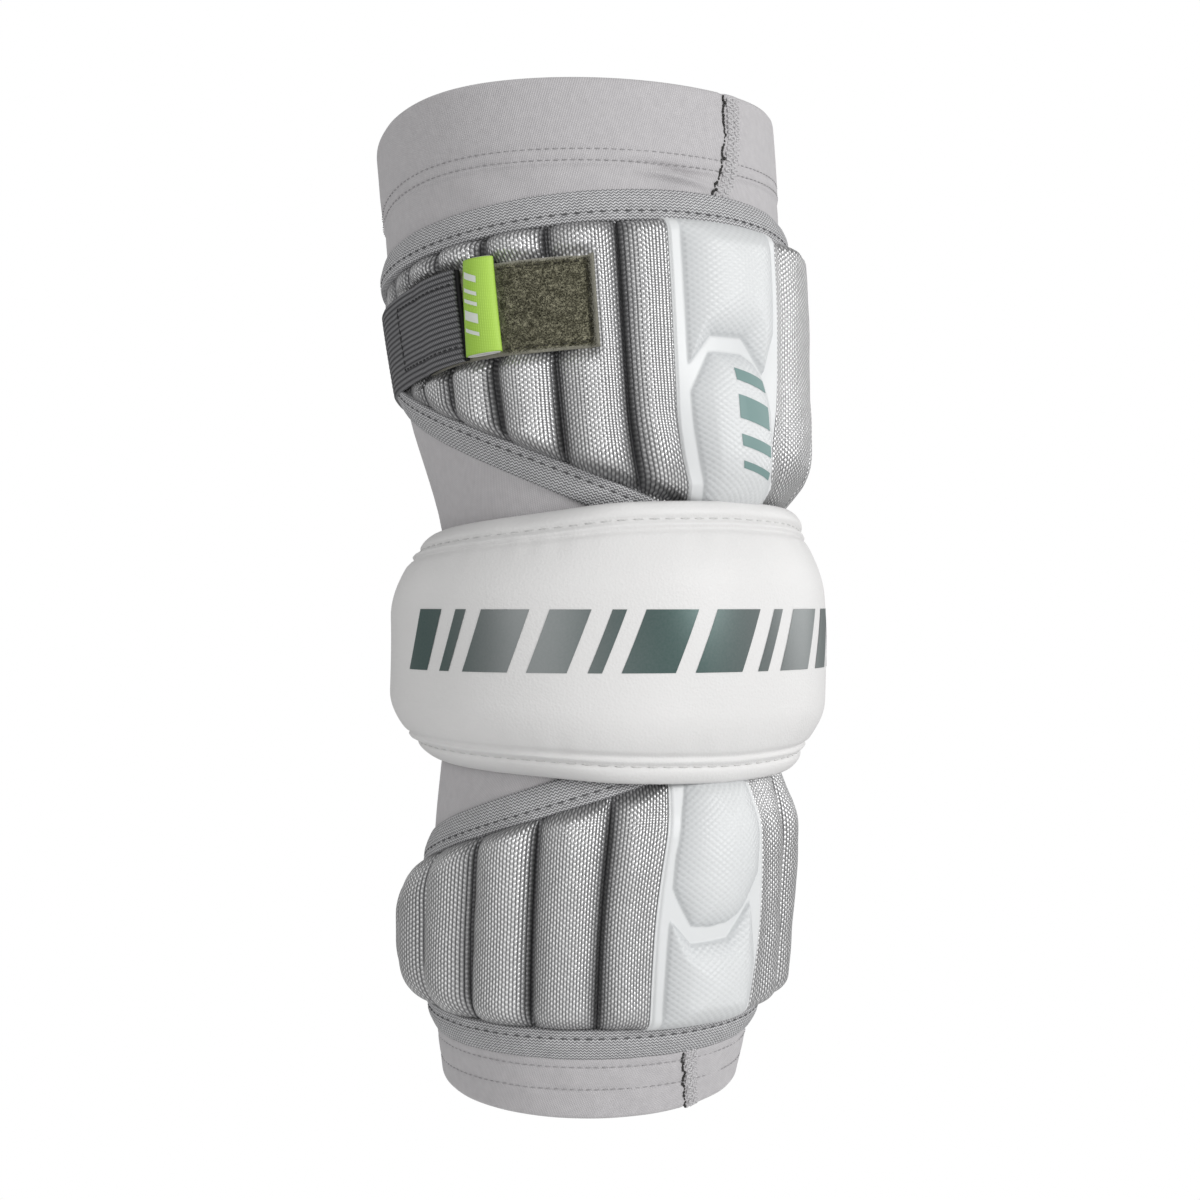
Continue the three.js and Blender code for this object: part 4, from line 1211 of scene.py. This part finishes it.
bars = []
for low, tall in zip(PANEL_BARS["height"], PANEL_BARS["width"]):
    turn = np.linspace(*PANEL_BAR_TURN, 24)[:, None]
    height = low + np.linspace(0, tall, 8)[None, :] - (turn - PANEL_BAR_TURN[0]) * 0.28
    from_middle = turn - PADS["upper_arm"]["turn"]
    out, _ = panel_out("upper_arm", from_middle, height)
    grid = on_arm(fanned("upper_arm", from_middle, height), height, out + PRINT_LIFT)
    bars.append((grid, cloth_grid(turn, height)))
panel_ink = print_finish("panel_print", PANEL_PRINT, PANEL_PRINT, roughness=0.55, metal=0)
printed("panel_print", bars, panel_ink)


# The loop patch is a strip of olive loop pile, sewn flat on the ribs. Its edge is pressed down
# by the stitches, and the rest is a low fuzz of tiny loops.
PATCH = {"from": -86, "to": -34, "thick": 1.1, "seam": 1.7}
PATCH_CLOTH = 1.15
PILE_FROM = -57
HAIR = {"length": 0.8, "thickness": 0.16}
HAIRS = {
    "pale": {"colour": (0.50, 0.48, 0.37), "density": 5.5e6},
    "dark": {"colour": (0.10, 0.096, 0.06), "density": 6.5e6},
}
PILE_LIGHT = (0.38, 0.365, 0.26)
PILE_DARK = (0.055, 0.052, 0.030)
PILE_MARGIN = (0.27, 0.262, 0.22)


def under_strap(turn, height):
    """What the strap and the patch lie on."""
    near = (np.asarray(turn) + 180) % 360 - 180
    pad = rib_top("upper_arm", near - PADS["upper_arm"]["turn"], height)
    return mix(pad, 0, ease(BACK_END + 5, BACK_END + 13, np.abs(near)))


def pile_finish():
    """Speckled pile, paler along the edge where the stitches press it flat."""
    material, tree, shader = start_finish("loop_pile", roughness=0.9, specular=0.2)
    u, v = cloth_map(tree)
    coarse = calc(tree, "MULTIPLY", clouds(tree, 2.2), 0.4)
    fuzz = calc(tree, "MULTIPLY_ADD", clouds(tree, 0.36, 4.0), 0.6, coarse)
    sharp = calc(tree, "MULTIPLY_ADD", fuzz, 3.2, -1.15)
    speck = calc(tree, "MINIMUM", calc(tree, "MAXIMUM", sharp, 0.0), 1.0)
    side = calc(tree, "SUBTRACT", STRAP_HALF - 0.5, calc(tree, "ABSOLUTE", v))
    end = calc(tree, "SUBTRACT", PATCH["to"] * PATCH_CLOTH - 1.2, u)
    margin = calc(tree, "MULTIPLY_ADD", calc(tree, "MINIMUM", side, end), -0.9, 0.75)
    margin = calc(tree, "MINIMUM", calc(tree, "MAXIMUM", margin, 0.0), 0.8)
    pile = tint(tree, speck, PILE_DARK, PILE_LIGHT)
    tree.links.new(tint(tree, margin, pile, PILE_MARGIN), shader.inputs["Base Color"])
    shader.inputs["Sheen Weight"].default_value = 0.4
    shader.inputs["Sheen Roughness"].default_value = 0.4
    relief(tree, shader, fuzz, depth=0.5)
    return material


def patch_out(turn, across):
    """The patch's face: crowned pile, pressed down near the sewn edge."""
    height = strap_middle(turn) + across
    edge = np.minimum(STRAP_HALF - np.abs(across), (PATCH["to"] - turn) * 1.1)
    seam = ridge(edge, PATCH["seam"], 0.7)
    rough = 0.22 * ripples(turn * PAD_CLOTH, across, size=1.6, seed=51, count=14)
    crown = PATCH["thick"] * ease(-0.4, 0.8, edge) * mix(0.8, 1, ease(1.8, 3.4, edge))
    return height, under_strap(turn, height) + crown - 0.22 * seam + rough * ease(1.6, 3, edge)


turn = steps([PATCH["from"], PATCH["to"] - 2, PATCH["to"]], [130, 14])[:, None]
across = steps([-STRAP_HALF, -STRAP_HALF + 2, STRAP_HALF - 2, STRAP_HALF], [8, 56, 8])[None, :]
height, out = patch_out(turn, across)
seat = under_strap(turn, height)
cloth = cloth_grid(turn * PATCH_CLOTH, across)
PILE = pile_finish()
patch = shell("loop_pile_patch", on_arm(turn, height, out), on_arm(turn, height, seat - 0.1), cloth, PILE)
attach(patch, "root")
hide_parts("loop_patch")


def fuzz_tree():
    """Geometry Nodes that stand small hairs all over a mesh, each tilted at random."""
    sizes = ("Hairs per square metre", "Hair length", "Hair thickness")
    tree, nodes = start_tree("pile_fuzz", sizes, "Pile", {
        "start": "NodeGroupInput",
        "scatter": "GeometryNodeDistributePointsOnFaces",
        "hair": "GeometryNodeMeshCone",
        "size": "ShaderNodeCombineXYZ",
        "tilt": "FunctionNodeRandomValue",
        "long": "FunctionNodeRandomValue",
        "stretch": "ShaderNodeMath",
        "lean": "FunctionNodeRotateRotation",
        "angles": "FunctionNodeEulerToRotation",
        "place": "GeometryNodeInstanceOnPoints",
        "real": "GeometryNodeRealizeInstances",
        "paint": "GeometryNodeSetMaterial",
        "end": "NodeGroupOutput",
    })
    nodes["tilt"].data_type = "FLOAT_VECTOR"
    nodes["stretch"].operation = "MULTIPLY"
    nodes["lean"].rotation_space = "LOCAL"
    set_inputs(nodes["scatter"], {"Seed": 7})
    set_inputs(nodes["hair"], {"Vertices": 3, "Radius Top": 0.3, "Radius Bottom": 0.5, "Depth": 1.0})
    set_inputs(nodes["tilt"], {0: (-1.1, -1.1, 0), 1: (1.1, 1.1, 6.28), "Seed": 8})
    set_inputs(nodes["long"], {2: 0.5, 3: 1.3, "Seed": 9})
    wire(tree, nodes, [
        ("start", "Geometry", "scatter", "Mesh"),
        ("start", "Hairs per square metre", "scatter", "Density"),
        ("start", "Hair length", "stretch", 0),
        ("long", 1, "stretch", 1),
        ("start", "Hair thickness", "size", "X"),
        ("start", "Hair thickness", "size", "Y"),
        ("stretch", 0, "size", "Z"),
        ("scatter", "Rotation", "lean", "Rotation"),
        ("tilt", 0, "angles", 0),
        ("angles", 0, "lean", "Rotate By"),
        ("scatter", "Points", "place", "Points"),
        ("hair", "Mesh", "place", "Instance"),
        ("lean", 0, "place", "Rotation"),
        ("size", 0, "place", "Scale"),
        ("place", 0, "real", 0),
        ("real", 0, "paint", "Geometry"),
        ("start", "Pile", "paint", "Material"),
        ("paint", 0, "end", 0),
    ])
    return tree


FUZZ = fuzz_tree()
turn = np.linspace(PILE_FROM, PATCH["to"] - 0.8, 60)[:, None]
across = np.linspace(-STRAP_HALF + 0.7, STRAP_HALF - 0.7, 60)[None, :]
height, out = patch_out(turn, across)
bed = on_arm(turn, height, out - 0.05)
quads = grid_quads(60, 60)
for shade, facts in HAIRS.items():
    finish = thread_finish(shade + "_pile", facts["colour"])
    field = build(shade + "_fuzz", bed.reshape(-1, 3), quads, np.zeros((len(quads), 4, 2)), finish)
    settle(field, FUZZ, {
        "Hairs per square metre": facts["density"],
        "Hair length": HAIR["length"] * MM,
        "Hair thickness": HAIR["thickness"] * MM,
        "Pile": finish,
    })
    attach(field, "root")

PATCH_THREAD = thread_finish("patch_thread", (0.055, 0.052, 0.035))
side = STRAP_HALF - PATCH["seam"]
end = PATCH["to"] - PATCH["seam"]
along = np.linspace(PILE_FROM, end, 60)
turns = np.concatenate([along, np.full(40, end), along[::-1]])
acrosses = np.concatenate([np.full(60, side), np.linspace(side, -side, 40), np.full(60, -side)])
height, out = patch_out(turns, acrosses)
patch_line = on_arm(turns, height, out + 0.3)
sew("patch_stitches", [patch_line], PATCH_THREAD, pitch=2.6, length=1.7, thickness=0.5)


# The strap is ribbed grey elastic, 25 mm wide. It goes round the back of the upper arm, and its
# end carries black hook tape that closes on the patch, sewn on with a box of stitches.
STRAP = 1.3
STRAP_START = -242
STRAP_END = -68.8
STRAP_TACK = [-239.5, -235.5]
STRAP_RIB = 1.45
STRAP_BOX = [(-70.6, 8.6), (-97.5, 8.6), (-97.5, -8.6), (-70.6, -8.6)]
STRAP_CLOTH = 1.08
WEBBING_LIGHT = (0.27, 0.27, 0.28)
WEBBING_DARK = (0.022, 0.022, 0.025)
HOOK_BLACK = (0.012, 0.012, 0.013)
HOOK = {"from": -86, "sunk": 0.75, "thick": 1.1}


def webbing_finish():
    """Elastic: long ribs of covered rubber with fine cross threads."""
    material, tree, shader = start_finish("strap_webbing", roughness=0.7, specular=0.35)
    u, v = cloth_map(tree)
    ribs = wave(tree, v, STRAP_RIB)
    cross = wave(tree, calc(tree, "MULTIPLY_ADD", v, 0.7, u), 0.78)
    threads = calc(tree, "MULTIPLY_ADD", cross, 0.7, 0.3)
    weave = calc(tree, "MULTIPLY", threads, calc(tree, "POWER", ribs, 0.6))
    tree.links.new(tint(tree, weave, WEBBING_DARK, WEBBING_LIGHT), shader.inputs["Base Color"])
    relief(tree, shader, weave, depth=0.16)
    return material


def strap_seat(turn, height):
    on_patch = ease(PATCH["from"] - 18, PATCH["from"] + 8, turn) * (PATCH["thick"] + 0.9)
    return under_strap(turn, height) + 0.1 + on_patch


def strap_out(turn, across):
    height = strap_middle(turn) + across
    ribbing = 0.09 * np.cos(2 * math.pi * across / STRAP_RIB)
    rounded = -0.5 * np.exp(-(STRAP_HALF - np.abs(across)) / 0.35)
    return height, strap_seat(turn, height) + STRAP + ribbing + rounded


turn = np.linspace(STRAP_START, STRAP_END, 230)[:, None]
across = np.linspace(-STRAP_HALF, STRAP_HALF, 126)[None, :]
height, out = strap_out(turn, across)
seat = strap_seat(turn, height)
cloth = cloth_grid(turn * STRAP_CLOTH, across)
WEBBING = webbing_finish()
strap = shell("elastic_strap", on_arm(turn, height, out), on_arm(turn, height, seat), cloth, WEBBING)
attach(strap, "root")
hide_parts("strap")

hook_finish, _, hook_shader = start_finish("hook_black", roughness=0.8, specular=0.3)
hook_shader.inputs["Base Color"].default_value = (*HOOK_BLACK, 1)
turn = np.linspace(HOOK["from"], STRAP_END + 0.9, 40)[:, None]
across = np.linspace(-STRAP_HALF + 0.2, STRAP_HALF - 0.2, 20)[None, :]
height = strap_middle(turn) + across
low_face = strap_seat(turn, height) - HOOK["sunk"]
low_grid, high_grid = (on_arm(turn, height, low_face + lift) for lift in (0, HOOK["thick"]))
hook = shell("hook_tape", high_grid, low_grid, cloth_grid(turn, across), hook_finish)
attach(hook, "root")

DARK_THREAD = thread_finish("dark_thread", (0.035, 0.035, 0.038))
share = np.linspace(0, 1, 40)
turns, acrosses = [], []
for (a, b), (c, d) in zip(STRAP_BOX, STRAP_BOX[1:]):
    turns.append(mix(a, c, share))
    acrosses.append(mix(b, d, share))
turns, acrosses = np.concatenate(turns), np.concatenate(acrosses)
height, out = strap_out(turns, acrosses)
strap_lines = [on_arm(turns, height, out + 0.1)]
for turn in STRAP_TACK:
    across = np.linspace(-STRAP_HALF + 1.5, STRAP_HALF - 1.5, 30)
    height, out = strap_out(np.full(30, turn), across)
    strap_lines.append(on_arm(turn, height, out + 0.1))
sew("strap_stitches", strap_lines, DARK_THREAD, pitch=2.3, length=1.7, thickness=0.6)


# The pull tab is a lime ribbon folded into a loop over the strap's end and sewn under it. It is
# green outside and white inside, and it bulges a little.
TAB = {
    "from": -66.2,
    "to": -57.5,
    "half": 12.9,
    "rise": 4.2,
    "wall": 0.45,
    "up": 1,
    "slant": 0.12,
    "narrow": 1.0,
}
TAB_GREEN = (0.23, 0.44, 0.02)
# The lit end of the green loop, a painted highlight.
TAB_PAINTED_LIT_GREEN = (0.50, 0.74, 0.13)
TAB_WHITE = (0.72, 0.72, 0.70)
TAB_PRINT = (0.62, 0.66, 0.60)
TAB_BARS = {
    "angles": (2.45, 1.5),
    "height": [0.62, 0.34, 0.12, -0.24, -0.5],
    "width": [0.14, 0.08, 0.08, 0.2, 0.08],
    "lean": 0.16,
}


def ribbon_finish(name, dark, light):
    """Satin ribbon with a fine weave, painted paler towards one end of the loop as a highlight where the
    light falls.
    """
    material, tree, shader = start_finish(name, roughness=0.5, specular=0.4)
    u, v = cloth_map(tree)
    weave = calc(tree, "MULTIPLY", wave(tree, u, 0.5), wave(tree, v, 0.42))
    # Painted light: the tone runs from the lit colour at one end of the loop to the darker one at the
    # other.
    share = calc(tree, "MULTIPLY_ADD", weave, 0.4, calc(tree, "MULTIPLY_ADD", u, -0.045, 0.62))
    share = calc(tree, "MAXIMUM", share, 0.0)
    tree.links.new(tint(tree, share, dark, light), shader.inputs["Base Color"])
    relief(tree, shader, weave, depth=0.05)
    return material


def tab_grid(shrink, angles, lengths):
    """Turns, heights and distances out of the loop's face, or of a face so far inside it."""
    middle = (TAB["from"] + TAB["to"]) / 2
    half = (TAB["to"] - TAB["from"]) / 2 - shrink
    cosine, sine = np.cos(angles)[:, None], np.sin(angles)[:, None]
    flat = np.sign(sine) * np.abs(sine) ** 0.9
    turn = middle + half * cosine + TAB["narrow"] * lengths * (1 - cosine) / 2
    height = strap_middle(middle) + TAB["up"] + TAB["slant"] * (turn - middle) + TAB["half"] * lengths
    bulge = 1 + 0.18 * np.cos(lengths * math.pi / 2)
    seat = under_strap(middle, strap_middle(middle)) + PATCH["thick"] + 0.3 + TAB["rise"] / 2
    out = seat + (TAB["rise"] / 2 - shrink * 0.9) * flat * bulge
    return turn, height, out


def tab_layer(name, outer, inner, longer, finish):
    """One layer of the loop, from one depth inside its face to another."""
    angles = np.linspace(0, 2 * math.pi, 64, endpoint=False)
    lengths = np.linspace(-1, 1, 40)[None, :]
    cloth = cloth_grid(angles[:, None] * 4, tab_grid(0, angles, lengths)[1])
    face, back = (on_arm(*tab_grid(depth, angles, lengths * longer)) for depth in (outer, inner))
    return shell(name, face, back, cloth, finish, ring=True)


green = ribbon_finish("tab_ribbon", TAB_GREEN, TAB_PAINTED_LIT_GREEN)
tab = tab_layer("pull_tab_ribbon", 0, TAB["wall"], 1, green)
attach(tab, "root")
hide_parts("pull_tab")

white = ribbon_finish("tab_lining", TAB_WHITE, TAB_WHITE)
lining = tab_layer("tab_lining", TAB["wall"] + 0.02, TAB["wall"] * 2, 1.012, white)
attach(lining, "root")

bars = []
for low, tall in zip(TAB_BARS["height"], TAB_BARS["width"]):
    angle = np.linspace(*TAB_BARS["angles"], 14)
    lean = (angle[:, None] - TAB_BARS["angles"][0]) * TAB_BARS["lean"]
    turn, height, out = tab_grid(0, angle, low + np.linspace(0, tall, 6)[None, :] + lean)
    bars.append((on_arm(turn, height, out + PRINT_LIFT), cloth_grid(turn, height)))
tab_ink = print_finish("tab_print", TAB_PRINT, TAB_PRINT, roughness=0.55, metal=0)
printed("tab_print", bars, tab_ink)
